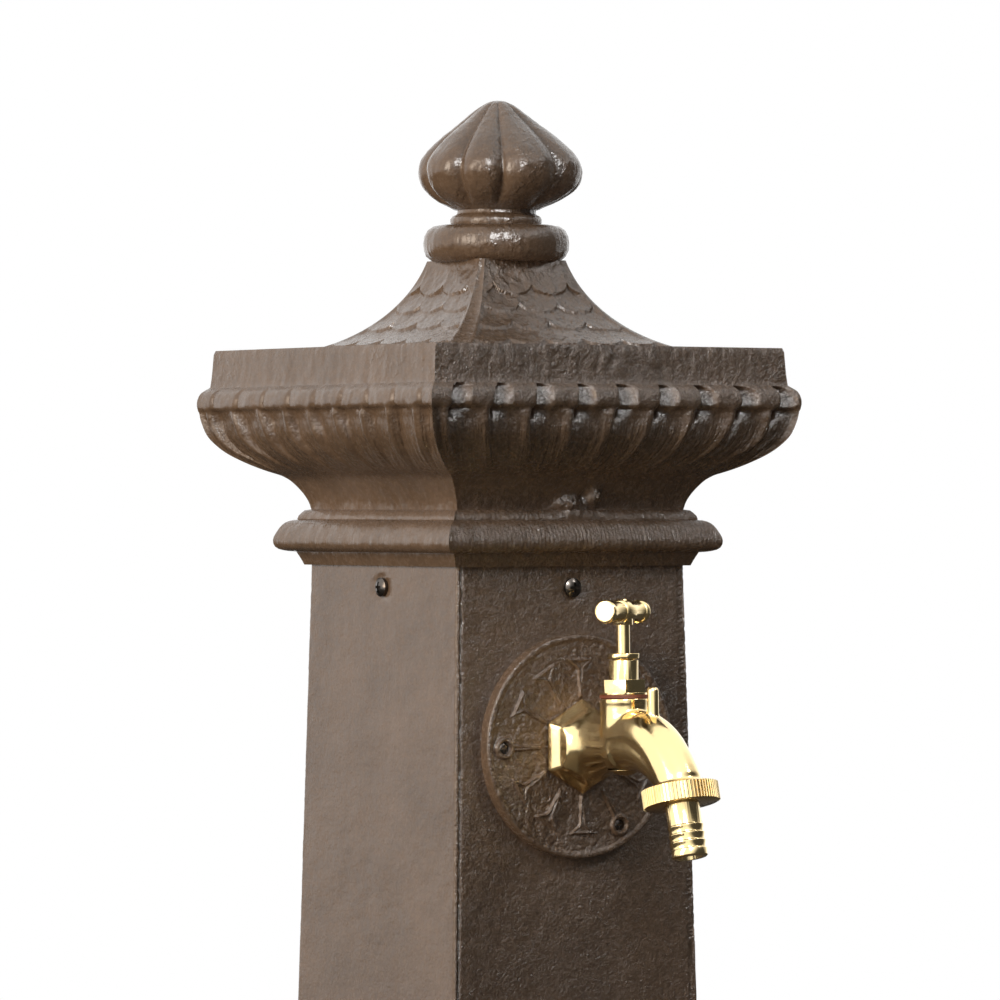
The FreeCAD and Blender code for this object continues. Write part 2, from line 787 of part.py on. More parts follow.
# Hose union, along the leaning outlet
def make_union():
    steps = 2 * knurl_count
    points = []
    for step in range(steps + 1):
        radius = union_nut_radius - knurl_depth * (step % 2)
        angle = 2 * math.pi * step / steps
        points.append(Vector(radius * math.cos(angle), radius * math.sin(angle), union_nut_start))
    nut = Part.Face(Part.makePolygon(points)).extrude(Vector(0, 0, union_nut_end - union_nut_start))
    lip = union_nut_end - union_lip
    nut = nut.cut(rod(union_thread_radius + union_gap, union_nut_start - 1, lip))
    nut = nut.cut(rod(tail_radius + union_gap, lip - 1, union_nut_end + 1))
    flange_top = lip - running_gap
    flange_bottom = flange_top - tail_flange
    washer = tube(tail_flange_radius, tail_bore + 0.6, flange_bottom - washer_thickness, flange_bottom)
    ribs = []
    for rib in range(tail_ribs):
        base = tail_end - tail_ring_inset - (tail_ribs - rib) * tail_rib_pitch
        ribs += [(tail_radius, base), (tail_radius + tail_rib_height, base + 0.3), (tail_radius, base + 2.2)]
    ring = tail_radius + tail_ring_height
    tail = turned([
        (tail_bore, flange_bottom), (tail_flange_radius, flange_bottom), (tail_flange_radius, flange_top),
        (tail_radius, flange_top),
    ] + ribs + [
        (tail_radius, tail_end - tail_ring_inset), (ring, tail_end - tail_ring_inset + 0.2),
        (ring, tail_end - 0.6), (tail_radius - 0.3, tail_end), (tail_bore, tail_end),
    ])
    return at_outlet(nut), at_outlet(washer), at_outlet(tail)


# Water pipe
def elbow_bore(radius):
    # A socket for a pipe of the given radius, with the waterway behind it.
    stop = elbow_reach - elbow_socket
    return rod(radius + thread_gap, stop, elbow_reach + 1).fuse(rod(pipe_radius - pipe_wall, 0, elbow_reach))


def make_elbow(turn_up):
    # Sockets towards the tap, which leans, and down, or towards the back and up.
    side = 180 if turn_up else 0
    level = facing(rod(elbow_radius, 0, elbow_reach).fuse(Part.makeSphere(elbow_radius)), 0, 0, side)
    level_bore = facing(elbow_bore(shank_radius), 0, 0, side)
    post = rod(elbow_radius, 0, elbow_reach)
    post_bore = elbow_bore(pipe_radius)
    if not turn_up:
        for socket in (level, level_bore):
            socket.rotate(Vector(), Vector(1, 0, 0), -face_lean)
        for socket in (post, post_bore):
            socket.rotate(Vector(), Vector(1, 0, 0), 180)
    elbow = level.fuse(post).cut(level_bore).cut(post_bore).removeSplitter()
    return at(elbow, 0, pipe_axis, inlet_height if turn_up else top_elbow_height)


def pipe_nut(bottom):
    nut = hexagon(back_nut_flats, bottom, bottom + back_nut_thickness, 30)
    return nut.cut(rod(shank_radius + thread_gap, bottom - 1, bottom + back_nut_thickness + 1))


def make_riser():
    socket = elbow_reach - elbow_socket
    riser = tube(pipe_radius, pipe_radius - pipe_wall, inlet_height + socket, top_elbow_height - socket)
    return at(riser, 0, pipe_axis, 0)


def make_inlet():
    # From the lower elbow through the plinth's back, where a nut clamps it and a hose union screws on.
    near = pipe_axis + elbow_reach - elbow_socket
    far = block_half + inlet_reach
    thick = rod(pipe_radius, near + elbow_socket, block_half - plinth_wall - 2)
    nipple = fused([rod(shank_radius, near, far), thick]).cut(rod(pipe_radius - pipe_wall, near - 1, far + 1))
    free_end = block_half + back_nut_thickness
    groove = tube(shank_radius + 1, shank_radius - end_groove_depth, free_end, free_end + end_groove_width)
    nipple = nipple.cut(groove)
    return facing(nipple, 0, inlet_height, 180), facing(pipe_nut(block_half), 0, inlet_height, 180)


def make_back_nut():
    inside = tap_face - column_wall
    washer = tube(wall_washer_radius, shank_radius + thread_gap, -wall_washer_thickness, 0)
    nut = pipe_nut(-wall_washer_thickness - back_nut_thickness)
    return on_face(facing(washer, inside, tap_height)), on_face(facing(nut, inside, tap_height))


def clip_screw_places():
    spot = clip_plate / 2 - clip_screw_inset
    return (-spot, spot)


def make_clip():
    # A ring round the riser, on an arm and a plate that two screws hold to the column's back.
    wall = column_half(clip_height) - column_wall - clip_gap
    inner = pipe_radius + thread_gap
    ring = tube(inner + clip_thickness, inner, -clip_width / 2, clip_width / 2)
    start = pipe_axis + inner + clip_thickness / 2
    low = -clip_width / 2
    arm = Part.makeBox(clip_thickness, wall - start, clip_width, Vector(-clip_thickness / 2, start, low))
    plate_corner = Vector(-clip_plate / 2, wall - clip_thickness, low)
    plate = Part.makeBox(clip_plate, clip_thickness, clip_width, plate_corner)
    clip = at(fused([at(ring, 0, pipe_axis, 0), arm, plate]), 0, 0, clip_height)
    out = column_half(clip_height) - screw_seat
    screws = []
    for x in clip_screw_places():
        clip = clip.cut(facing(rod(screw_radius + thread_gap, -out, 0), out, clip_height, 180, x))
        screw = pan_screw(screw_radius, screw_head_radius, screw_head_height, screw_length)
        screws.append(facing(screw, out, clip_height, 180, x))
    return clip, Part.makeCompound(screws)


# Basin and drain
def basin_bolt_places():
    return (-basin_bolt_spacing / 2, basin_bolt_spacing / 2)


def half_oval(half_width, depth, back, height):
    # A flat back at y = -back and half an ellipse in front of it.
    circle = Part.Arc(Vector(-1, 0, 0), Vector(0, -1, 0), Vector(1, 0, 0)).toShape()
    stretch = FreeCAD.Matrix()
    stretch.scale(half_width, depth, 1)
    bow = circle.transformGeometry(stretch)
    bow.translate(Vector(0, -back, height))
    left = Vector(-half_width, -back, height)
    right = Vector(half_width, -back, height)
    return Part.Wire([bow, Part.LineSegment(right, left).toShape()])


def half_bowl(drawn_in, back, bottom, top):
    # The bowl's form, drawn in from its outside by the wall.
    lofted = []
    for share, height in ((basin_floor_share, bottom), (1.0, top)):
        depth = basin_depth * share - (back - block_half) - drawn_in
        lofted.append(half_oval(basin_half_width * share - drawn_in, depth, back, height))
    return Part.makeLoft(lofted, True, True)


def make_basin():
    outer = half_bowl(0, block_half, basin_floor, basin_rim)
    inner = half_bowl(basin_wall, block_half + basin_wall, drain_floor, basin_rim + 0.01)
    rim_bottom = basin_rim - basin_rim_height
    rim_outline = half_oval(basin_half_width + basin_bead, basin_depth + basin_bead, block_half, rim_bottom)
    rim = Part.Face(rim_outline).extrude(Vector(0, 0, basin_rim_height))
    start = foot_half + pedestal_start
    wall = pedestal_wall
    pedestal = Part.Face(half_oval(pedestal_half, pedestal_depth, start, 0))
    pedestal = pedestal.extrude(Vector(0, 0, basin_floor + 1))
    hollow = Part.Face(half_oval(pedestal_half - wall, pedestal_depth - 2 * wall, start + wall, -1))
    hollow = hollow.extrude(Vector(0, 0, basin_floor + 1))
    basin = fused([outer, rim, pedestal]).cut(inner).cut(hollow)
    recess = rod(waste_flange + hole_gap, drain_floor - waste_flange_thickness, drain_floor + 1)
    hole = rod(waste_radius + hole_gap, basin_floor - 1, drain_floor + 1)
    basin = basin.cut(at(recess, 0, drain_y, 0)).cut(at(hole, 0, drain_y, 0))
    for x in basin_bolt_places():
        bolt = rod(basin_bolt_radius + hole_gap, -2, basin_wall + 2)
        basin = basin.cut(facing(bolt, block_half, basin_bolt_height, 0, x))
    return basin.removeSplitter()


def make_basin_fixings():
    shank = basin_wall + plinth_wall + basin_nut_thickness + 3.5
    bolt = hexagon(basin_bolt_flats, 0, basin_bolt_head).fuse(rod(basin_bolt_radius, -shank, 0))
    nut = hexagon(basin_bolt_flats, -basin_nut_thickness, 0)
    nut = nut.cut(rod(basin_bolt_radius + thread_gap, -basin_nut_thickness - 1, 1))
    heads = block_half + basin_wall
    inside = block_half - plinth_wall
    bolts = [facing(bolt, heads, basin_bolt_height, 0, x) for x in basin_bolt_places()]
    nuts = [facing(nut, inside, basin_bolt_height, 0, x) for x in basin_bolt_places()]
    return Part.makeCompound(bolts), Part.makeCompound(nuts)


def make_drain():
    # The waste's flange lies in the floor under the grate, and its tail is clamped below the floor.
    seat = drain_floor - waste_flange_thickness
    tail = seat - waste_tail
    waste = rod(waste_flange, seat, drain_floor).fuse(rod(waste_radius, tail, seat))
    waste = waste.cut(rod(waste_bore, tail - 1, drain_floor + 1))
    half = waste_bore + 0.5
    bridge_corner = Vector(-half, -bridge_width / 2, drain_floor - bridge_height)
    bridge = Part.makeBox(2 * half, bridge_width, bridge_height, bridge_corner)
    waste = fused([waste, bridge, rod(bridge_boss_radius, drain_floor - bridge_boss_height, drain_floor)])
    waste = waste.cut(rod(screw_radius + thread_gap, tail, drain_floor + 1))
    nut_top = basin_floor - waste_washer_thickness
    nut_bottom = nut_top - waste_nut_thickness
    groove_inside = waste_radius - end_groove_depth
    waste = waste.cut(tube(waste_radius + 1, groove_inside, nut_bottom - end_groove_width, nut_bottom))
    washer = tube(waste_radius + 5, waste_radius + hole_gap, nut_top, basin_floor)
    nut = hexagon(waste_nut_flats, nut_bottom, nut_top)
    nut = nut.cut(rod(waste_radius + thread_gap, 0, basin_floor))
    grate_top = drain_floor + grate_thickness
    grate = turned([
        (0, drain_floor), (drain_radius, drain_floor), (drain_radius, grate_top - 1.6),
        (drain_radius - 1.6, grate_top, drain_radius - 0.5, grate_top - 0.5), (0, grate_top),
    ])
    for number in range(grate_holes):
        angle = 2 * math.pi * (number + 0.5) / grate_holes
        slot = rod(grate_hole_radius, drain_floor - 1, grate_top + 1)
        for reach_out in (grate_slot_inner, grate_slot_outer):
            grate = grate.cut(at(slot, reach_out * math.cos(angle), reach_out * math.sin(angle), 0))
    grate = grate.cut(rod(screw_radius + hole_gap, drain_floor - 1, grate_top + 1))
    length = grate_thickness + bridge_boss_height - 2
    screw = at(pan_screw(screw_radius, screw_head_radius, screw_head_height, length), 0, 0, grate_top)
    return [at(shape, 0, drain_y, 0) for shape in (waste, washer, nut, grate, screw)]


def build():
    parts = {}
    parts["column"] = make_column()
    parts["plinth"] = make_plinth()
    parts["cap"] = make_cap()
    parts["cap_screws"] = corner_screws(column_top - screw_inset)
    parts["plinth_screws"] = corner_screws(plinth_height + screw_inset)
    parts["finial"] = make_finial()
    parts["finial_stud"], parts["finial_washer"], parts["finial_nut"] = make_finial_fixings()
    parts["rosette"] = make_rosette()
    parts["rosette_screws"] = make_rosette_screws()
    parts["tap_body"] = make_tap_body()
    parts["bonnet_washer"] = in_tap(tube(bonnet_washer_radius, chamber_bore, chamber_top, bonnet_base))
    parts["bonnet"] = make_bonnet()
    parts["gland_packing"], parts["gland_nut"] = make_gland()
    parts["jumper_washer"], parts["jumper"], parts["spindle"] = make_valve()
    parts["t_handle"], parts["handle_screw"] = make_handle()
    parts["union_nut"], parts["union_washer"], parts["hose_tail"] = make_union()
    parts["top_elbow"] = make_elbow(False)
    parts["bottom_elbow"] = make_elbow(True)
    parts["riser_pipe"] = make_riser()
    parts["inlet_nipple"], parts["inlet_locknut"] = make_inlet()
    parts["wall_washer"], parts["back_nut"] = make_back_nut()
    parts["pipe_clip"], parts["clip_screws"] = make_clip()
    parts["basin"] = make_basin()
    parts["basin_bolts"], parts["basin_nuts"] = make_basin_fixings()
    drain = ("waste_fitting", "waste_washer", "waste_nut", "drain_grate", "grate_screw")
    parts.update(zip(drain, make_drain()))
    return parts


os.makedirs("parts", exist_ok=True)
for name, shape in build().items():
    state = "valid" if shape.isValid() else "NOT VALID"
    print(name, len(shape.Solids), "solids", state, round(shape.Volume / 1000, 2), "cm3")
    shape.exportStep("parts/" + name + ".step")
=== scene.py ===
import json
import math
import bpy
import bmesh
from mathutils import Vector, Matrix, noise


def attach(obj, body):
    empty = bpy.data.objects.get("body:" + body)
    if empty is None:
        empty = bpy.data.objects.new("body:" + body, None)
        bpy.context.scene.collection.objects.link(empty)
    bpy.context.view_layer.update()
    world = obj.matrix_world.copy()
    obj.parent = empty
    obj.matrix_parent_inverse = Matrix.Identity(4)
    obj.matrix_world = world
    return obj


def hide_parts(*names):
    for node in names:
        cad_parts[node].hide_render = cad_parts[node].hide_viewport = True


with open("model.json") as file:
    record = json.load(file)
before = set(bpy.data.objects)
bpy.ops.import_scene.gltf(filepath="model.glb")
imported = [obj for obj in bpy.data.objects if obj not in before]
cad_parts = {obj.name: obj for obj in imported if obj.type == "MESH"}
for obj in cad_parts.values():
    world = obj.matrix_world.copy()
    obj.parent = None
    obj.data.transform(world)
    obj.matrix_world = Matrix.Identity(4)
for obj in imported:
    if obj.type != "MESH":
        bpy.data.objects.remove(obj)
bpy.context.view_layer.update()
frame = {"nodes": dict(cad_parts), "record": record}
nodes = frame["nodes"]
scene = bpy.context.scene
print("frame loaded:", len(nodes), "nodes")


# Node helpers; a setting is a node's own value, an input's value, or a socket to link to that input
def addNode(tree, kind, settings=None):
    node = tree.nodes.new(kind)
    for name, value in (settings or {}).items():
        if isinstance(value, bpy.types.NodeSocket):
            tree.links.new(value, node.inputs[name])
        elif isinstance(name, int) or name in node.inputs:
            node.inputs[name].default_value = value
        else:
            setattr(node, name, value)
    return node


def addField(tree, kind, settings=None):
    return addNode(tree, kind, settings).outputs[0]


def reckon(tree, operation, *values):
    # a math node on sockets or plain numbers
    return addField(tree, "ShaderNodeMath", {"operation": operation} | dict(enumerate(values)))


def mapRange(tree, value, low, high, toLow=0.0, toHigh=1.0):
    # low to high becomes toLow to toHigh, held at both ends
    settings = {"Value": value, "From Min": low, "From Max": high, "To Min": toLow, "To Max": toHigh}
    return addField(tree, "ShaderNodeMapRange", settings)


def perMm(size):
    return 1000 / size     # noise scale for a pattern of that size in millimetres


def grain(tree, place, size, detail, roughness=0.5):
    settings = {"Vector": place, "Scale": perMm(size), "Detail": detail, "Roughness": roughness}
    return addField(tree, "ShaderNodeTexNoise", settings)


def bump(tree, height, depth, strength, under=None):
    # depth in metres; under is the normal that it lies on
    settings = {"Height": height, "Distance": depth, "Strength": strength}
    if under is not None:
        settings["Normal"] = under
    return addField(tree, "ShaderNodeBump", settings)


def toLinear(hexColour):
    channels = [int(hexColour[i:i + 2], 16) / 255 for i in (1, 3, 5)]
    return [c / 12.92 if c <= 0.04045 else ((c + 0.055) / 1.055) ** 2.4 for c in channels] + [1.0]


def newFinish(name, colour, roughness, metallic=0.0):
    material = bpy.data.materials.new(name)
    material.use_nodes = True
    shader = material.node_tree.nodes["Principled BSDF"]
    shader.inputs["Base Color"].default_value = toLinear(colour)
    shader.inputs["Roughness"].default_value = roughness
    shader.inputs["Metallic"].default_value = metallic
    return material, material.node_tree, shader


# Camera: the photograph's own view, worked out from the edges of cap and column
view = {
    "azimuth": -33.51, "distance": 2.6, "height": 0.8278,
    "lens": 218.88, "sensor": 36, "shift": 0.0038, "clipEnd": 50,
}

camData = bpy.data.cameras.new("camera")
camera = bpy.data.objects.new("camera", camData)
scene.collection.objects.link(camera)
turn = math.radians(view["azimuth"])
camera.location = (math.sin(turn) * view["distance"], -math.cos(turn) * view["distance"], view["height"])
camera.rotation_euler = (math.pi / 2, 0, turn)
camData.sensor_width = view["sensor"]
camData.lens = view["lens"]
camData.shift_x = view["shift"]
camData.clip_end = view["clipEnd"]
scene.camera = camera
scene.view_settings.view_transform = "Standard"

# Studio: white all round for eye, gloss and glass, but for a dim corner on the right of the camera
studio = {
    "backdrop": 1.0, "whiteRoom": 1.5, "roomLight": 0.04,
    "dimRoom": 0.06, "dimWay": (0.68, -0.70, -0.2), "dimFrom": 0.35, "dimTo": 0.75,
    "floor": "#F6F5F3", "floorBounce": "#645F59", "floorHalf": 4.5, "fadeFrom": 0.16, "fadeTo": 1.0,
}

world = bpy.data.worlds.new("studio")
world.use_nodes = True
scene.world = world
tree = world.node_tree
tree.nodes.clear()
path = addNode(tree, "ShaderNodeLightPath").outputs
ray = addNode(tree, "ShaderNodeTexCoord").outputs["Generated"]
toDim = addNode(tree, "ShaderNodeVectorMath", {"operation": "DOT_PRODUCT", 0: ray, 1: studio["dimWay"]})
toDim = toDim.outputs["Value"]
room = mapRange(tree, toDim, studio["dimFrom"], studio["dimTo"], studio["whiteRoom"], studio["dimRoom"])
mirrored = reckon(tree, "MAXIMUM", path["Is Glossy Ray"], path["Is Transmission Ray"])
reflected = addField(tree, "ShaderNodeMix", {"Factor": mirrored, "A": studio["roomLight"], "B": room})
seen = path["Is Camera Ray"]
strength = addField(tree, "ShaderNodeMix", {"Factor": seen, "A": reflected, "B": studio["backdrop"]})
background = addField(tree, "ShaderNodeBackground", {"Color": (1, 1, 1, 1), "Strength": strength})
addNode(tree, "ShaderNodeOutputWorld", {"Surface": background})


def addLight(name, spot, aim, width, height, power, colour="#FFFFFF"):
    data = bpy.data.lights.new(name, "AREA")
    data.shape = "RECTANGLE"
    data.size = width
    data.size_y = height
    data.energy = power
    data.color = toLinear(colour)[:3]
    lamp = bpy.data.objects.new(name, data)
    lamp.location = spot
    lamp.rotation_euler = (Vector(aim) - Vector(spot)).to_track_quat("-Z", "Y").to_euler()
    scene.collection.objects.link(lamp)
    return lamp


lamps = [
    addLight("softboxLeft", (-2.1, -0.42, 1.36), (0, 0, 0.82), 0.9, 1.2, 32.5, "#FFEDD8"),
    addLight("topRight", (0.75, -0.95, 1.8), (0, 0, 0.85), 0.3, 0.3, 3.9),
    addLight("glints", (-0.74, -1.59, 1.85), (0, 0, 0.85), 0.25, 0.25, 54),
]
lamps[-1].visible_diffuse = False       # it only makes rough and rounded places glint

corners = [(x * studio["floorHalf"], y * studio["floorHalf"], 0) for x, y in ((-1, -1), (1, -1), (1, 1), (-1, 1))]
floorMesh = bpy.data.meshes.new("floor")
floorMesh.from_pydata(corners, [], [(0, 1, 2, 3)])
floor = bpy.data.objects.new("floor", floorMesh)
scene.collection.objects.link(floor)
# The eye sees a pale floor, but little light comes back from it to the undersides
floorFinish, tree, shader = newFinish("paleFloor", studio["floor"], 0.9)
seen = addNode(tree, "ShaderNodeLightPath").outputs["Is Camera Ray"]
bounce, pale = toLinear(studio["floorBounce"]), toLinear(studio["floor"])
floorTone = addNode(tree, "ShaderNodeMix", {"data_type": "RGBA", 0: seen, 6: bounce, 7: pale})
tree.links.new(floorTone.outputs[2], shader.inputs["Base Color"])
# and for the eye it fades out into the backdrop away from the fountain
spot = addNode(tree, "ShaderNodeTexCoord").outputs["Object"]
away = addNode(tree, "ShaderNodeVectorMath", {"operation": "LENGTH", 0: spot}).outputs["Value"]
fade = reckon(tree, "MULTIPLY", mapRange(tree, away, studio["fadeFrom"], studio["fadeTo"]), seen)
clear = addField(tree, "ShaderNodeBsdfTransparent")
faded = addField(tree, "ShaderNodeMixShader", {0: fade, 1: shader.outputs[0], 2: clear})
tree.links.new(faded, tree.nodes["Material Output"].inputs["Surface"])
floorMesh.materials.append(floorFinish)
print("camera and studio set")


# Finishes. Iron: pattern sizes in millimetres, depths and heights in metres, and pairs from least to most
iron = {
    "colour": "#7A6654", "light": "#85705E", "dark": "#6D5B4B", "ior": 1.5, "gloss": (0.16, 0.32),
    "blotches": 38, "specks": 2.2, "speckShare": 0.4,
    "sand": 1.2, "sandDepth": 0.0007, "lumps": 7, "lumpDepth": 0.0007,
    "pits": 3.2, "pitDepth": 0.0008, "pitPatches": 52, "pitsBelowSlab": 0.12, "slab": (0.872, 0.882),
    "strength": (0.22, 0.85), "facing": (-0.9, -0.4), "calm": 0.4, "calmFrom": (0.89, 0.895),
    "scratchCount": 46.0, "scratchLength": 17, "scratchDepth": 0.0013,
    "leafFoot": (0.8385, 0.8425), "leafTop": (0.856, 0.866),
}


def paintedIron(name, look):
    # Brown satin paint on sand-cast iron: it keeps the sand's grain and pits, is blotchy,
    # and glints where it is smooth
    material, tree, shader = newFinish(name, look["colour"], 0.3)
    shader.inputs["IOR"].default_value = look["ior"]
    coordinates = addNode(tree, "ShaderNodeTexCoord").outputs
    place = coordinates["Object"]
    blotch = grain(tree, place, look["blotches"], 5.0, 0.6)
    speck = grain(tree, place, look["specks"], 3.0)
    both = addField(tree, "ShaderNodeMix", {"Factor": look["speckShare"], "A": blotch, "B": speck})
    tone = addNode(tree, "ShaderNodeValToRGB", {"Fac": both})
    ramp = tone.color_ramp.elements
    ramp[0].position, ramp[0].color = 0.36, toLinear(look["dark"])
    ramp[1].position, ramp[1].color = 0.64, toLinear(look["light"])
    ramp.new(0.5).color = toLinear(look["colour"])
    tree.links.new(tone.outputs[0], shader.inputs["Base Color"])
    tree.links.new(mapRange(tree, speck, 0.35, 0.65, *look["gloss"]), shader.inputs["Roughness"])
    # The faces toward -X came out of the mould smoother than the rest, and so did everything above the cap's slab
    x, y, z = addNode(tree, "ShaderNodeSeparateXYZ", {"Vector": place}).outputs
    facing = addNode(tree, "ShaderNodeSeparateXYZ", {"Vector": coordinates["Normal"]}).outputs["X"]
    rougher = mapRange(tree, facing, *look["facing"], *look["strength"])
    strength = reckon(tree, "MULTIPLY", rougher, mapRange(tree, z, *look["calmFrom"], 1.0, look["calm"]))
    pits = mapRange(tree, grain(tree, place, look["pits"], 2.0), 0.5, 0.64)
    patches = mapRange(tree, grain(tree, place, look["pitPatches"], 1.0), 0.42, 0.56)
    onSlab = mapRange(tree, z, *look["slab"], look["pitsBelowSlab"])
    pitted = reckon(tree, "MULTIPLY", reckon(tree, "MULTIPLY", pits, patches), onSlab)
    normal = bump(tree, grain(tree, place, look["sand"], 4.0, 0.65), look["sandDepth"], strength)
    normal = bump(tree, grain(tree, place, look["lumps"], 3.0), look["lumpDepth"], strength, normal)
    normal = bump(tree, pitted, look["pitDepth"], strength, normal)
    # Scratched lines fan out over the cornice's leaves: they follow x / y on front and back, y / x on the sides
    half = reckon(tree, "MAXIMUM", reckon(tree, "ABSOLUTE", x), reckon(tree, "ABSOLUTE", y))
    fan = reckon(tree, "DIVIDE", reckon(tree, "ADD", x, y), half)
    fan = reckon(tree, "MULTIPLY", fan, look["scratchCount"])
    rise = reckon(tree, "MULTIPLY", z, perMm(look["scratchLength"]))
    fan = addField(tree, "ShaderNodeCombineXYZ", {"X": fan, "Z": rise})
    scratches = addField(tree, "ShaderNodeTexNoise", {"Vector": fan, "Scale": 1.0, "Detail": 2.0})
    belowBead = mapRange(tree, z, *look["leafTop"], 1.0, 0.0)
    onLeaves = reckon(tree, "MULTIPLY", mapRange(tree, z, *look["leafFoot"]), belowBead)
    tree.links.new(bump(tree, scratches, look["scratchDepth"], onLeaves, normal), shader.inputs["Normal"])
    return material


def skinned(name, colour, roughness, metallic, size, depth, detail=3.0, smear=0):
    # a finish whose skin has marks of that size and depth; smear is the size of its duller and glossier places
    material, tree, shader = newFinish(name, colour, roughness, metallic)
    place = addNode(tree, "ShaderNodeTexCoord").outputs["Object"]
    if smear:
        gloss = mapRange(tree, grain(tree, place, smear, 3.0), 0.3, 0.7, roughness * 0.7, roughness * 1.4)
        tree.links.new(gloss, shader.inputs["Roughness"])
    skin = bump(tree, grain(tree, place, size, detail), depth, 0.5)
    tree.links.new(skin, shader.inputs["Normal"])
    return material


finishes = {
    "painted_iron": paintedIron("satinPaintOnCastIron", iron),
    # buffed castings mirror the room with soft dents, turned parts carry fine tool lines
    "polished_brass": skinned("buffedBrass", "#F0D69E", 0.15, 1.0, 9, 0.00022, 2.0, 6),
    "plain_brass": skinned("turnedBrass", "#D1B073", 0.27, 1.0, 1.2, 0.00003, 2.0, 6),
    "black_steel": skinned("blackenedSteel", "#5C5651", 0.25, 1.0, 1.0, 0.00004),
    "zinc_steel": skinned("zincPlatedSteel", "#B9BBBC", 0.32, 1.0, 0.8, 0.00003),
    "black_rubber": skinned("mouldedRubber", "#1C1B1A", 0.7, 0.0, 0.9, 0.00005),
    "red_fibre": skinned("vulcanisedFibre", "#8A4A30", 0.6, 0.0, 0.7, 0.00005),
    "packing_cord": skinned("waxedPackingCord", "#B9AE93", 0.8, 0.0, 0.8, 0.0002),
}
slotOf = {part["node"]: part["material_slot"] for part in frame["record"]["subparts"]}
for name, node in nodes.items():
    node.data.materials.clear()
    node.data.materials.append(finishes[slotOf[name]])
print("finishes made:", len(finishes))


# Mesh helpers; sizes in millimetres until the mesh is made
def settle(piece, node, body="root"):
    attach(piece, body)
    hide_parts(node)
    return piece


def newObject(mesh, name):
    data = bpy.data.meshes.new(name)
    mesh.to_mesh(data)
    mesh.free()
    piece = bpy.data.objects.new(name, data)
    scene.collection.objects.link(piece)
    return piece


def newPiece(mesh, name, node, angle):
    # edges sharper than the angle stay sharp
    bmesh.ops.remove_doubles(mesh, verts=mesh.verts, dist=1e-6)
    bmesh.ops.recalc_face_normals(mesh, faces=mesh.faces)
    for face in mesh.faces:
        face.smooth = True
    for edge in mesh.edges:
        if len(edge.link_faces) == 2 and edge.calc_face_angle(0) > math.radians(angle):
            edge.smooth = False
    piece = newObject(mesh, name)
    piece.data.materials.append(finishes[slotOf[node]])
    return piece


def evaluated(piece):
    # the mesh that the modifiers make, without the modifiers
    made = bpy.data.meshes.new_from_object(piece.evaluated_get(bpy.context.evaluated_depsgraph_get()))
    piece.modifiers.clear()
    piece.data = made
    return made


def gridFaces(mesh, rows, closedAlong=False):
    # closed rows of vertices become quads, and closedAlong joins the last row to the first
    count = len(rows)
    for i in range(count if closedAlong else count - 1):
        low, high = rows[i], rows[(i + 1) % count]
        span = len(low)
        for j in range(span):
            k = (j + 1) % span
            quad = [low[j], low[k], high[k], high[j]]
            if len({v.co.to_tuple(9) for v in quad}) > 2:
                mesh.faces.new(quad)


def closeToMiddle(mesh, row, middle):
    # a ring of vertices is closed with triangles to one in its middle
    for i, v in enumerate(row):
        mesh.faces.new((v, row[(i + 1) % len(row)], middle))


def onSide(mesh, side, x, y, z):
    # a vertex placed as on the front (side 0), turned to the right side (1), the back (2) or the left side (3)
    a = side * math.pi / 2
    return mesh.verts.new(Vector((x * math.cos(a) - y * math.sin(a), x * math.sin(a) + y * math.cos(a), z)) / 1000)


def steps(low, high, count):
    return [low + (high - low) * i / (count - 1) for i in range(count)]


def between(points, where):
    # value at a place along a list of (place, value), straight lines between
    if where <= points[0][0]:
        return points[0][1]
    for (a, va), (b, vb) in zip(points, points[1:]):
        if where <= b:
            return va + (vb - va) * (where - a) / (b - a)
    return points[-1][1]


def smoothLine(points, count):
    # a rounded line through points (half width, height), evenly spaced
    curve = []
    for i in range(len(points) - 1):
        p0 = points[max(i - 1, 0)]
        p1, p2 = points[i], points[i + 1]
        p3 = points[min(i + 2, len(points) - 1)]
        for t in steps(0, 1, 13)[:-1]:
            curve.append(tuple(
                0.5 * (2 * p1[k] + (p2[k] - p0[k]) * t + (2 * p0[k] - 5 * p1[k] + 4 * p2[k] - p3[k]) * t * t
                       + (3 * p1[k] - p0[k] - 3 * p2[k] + p3[k]) * t ** 3) for k in (0, 1)))
    curve.append(tuple(points[-1]))
    lengths = [0.0]
    for a, b in zip(curve, curve[1:]):
        lengths.append(lengths[-1] + math.dist(a, b))
    out = []
    for want in steps(0, lengths[-1], count):
        i = max(1, next((n for n, l in enumerate(lengths) if l >= want - 1e-9), len(lengths) - 1))
        share = (want - lengths[i - 1]) / max(lengths[i] - lengths[i - 1], 1e-9)
        out.append(tuple(curve[i - 1][k] + (curve[i][k] - curve[i - 1][k]) * share for k in (0, 1)))
    return out


def ripple(x, y, z):
    return noise.noise(Vector((x, y, z)))


def rough(place, size, depth):
    return noise.fractal(Vector(place) / size, 0.9, 2.0, 3) * depth


def bell(off, width):
    return math.exp(-(off / width) ** 2)


def smoothStep(x):
    x = min(1, max(0, x))
    return x * x * (3 - 2 * x)


# Cap: slab, bead, leafed cornice, neck and mouldings, swept round a square with mitred corners
capForm = {
    "across": 205, "leaves": 9, "leafDepth": 5.2, "notch": 1.8, "castDepth": 0.28, "stepHalf": 93.4, "mitre": 2.5,
    "lines": 5, "lineDepth": 0.75, "chatter": 0.16, "brokenDepth": 1.3,
    "torusFoot": 806.0, "torusTop": 819.0, "leafFoot": 838.6, "scoopFoot": 861.0, "brokenAt": 865.6,
    "beadFoot": 866.0, "beadTop": 876.0, "beadHalf": 93.3, "slabFoot": 878.0,
    "leftBead": 0.4, "leftScoop": 0.12, "leftRest": 0.3,      # what the smoother left side keeps of the relief
}
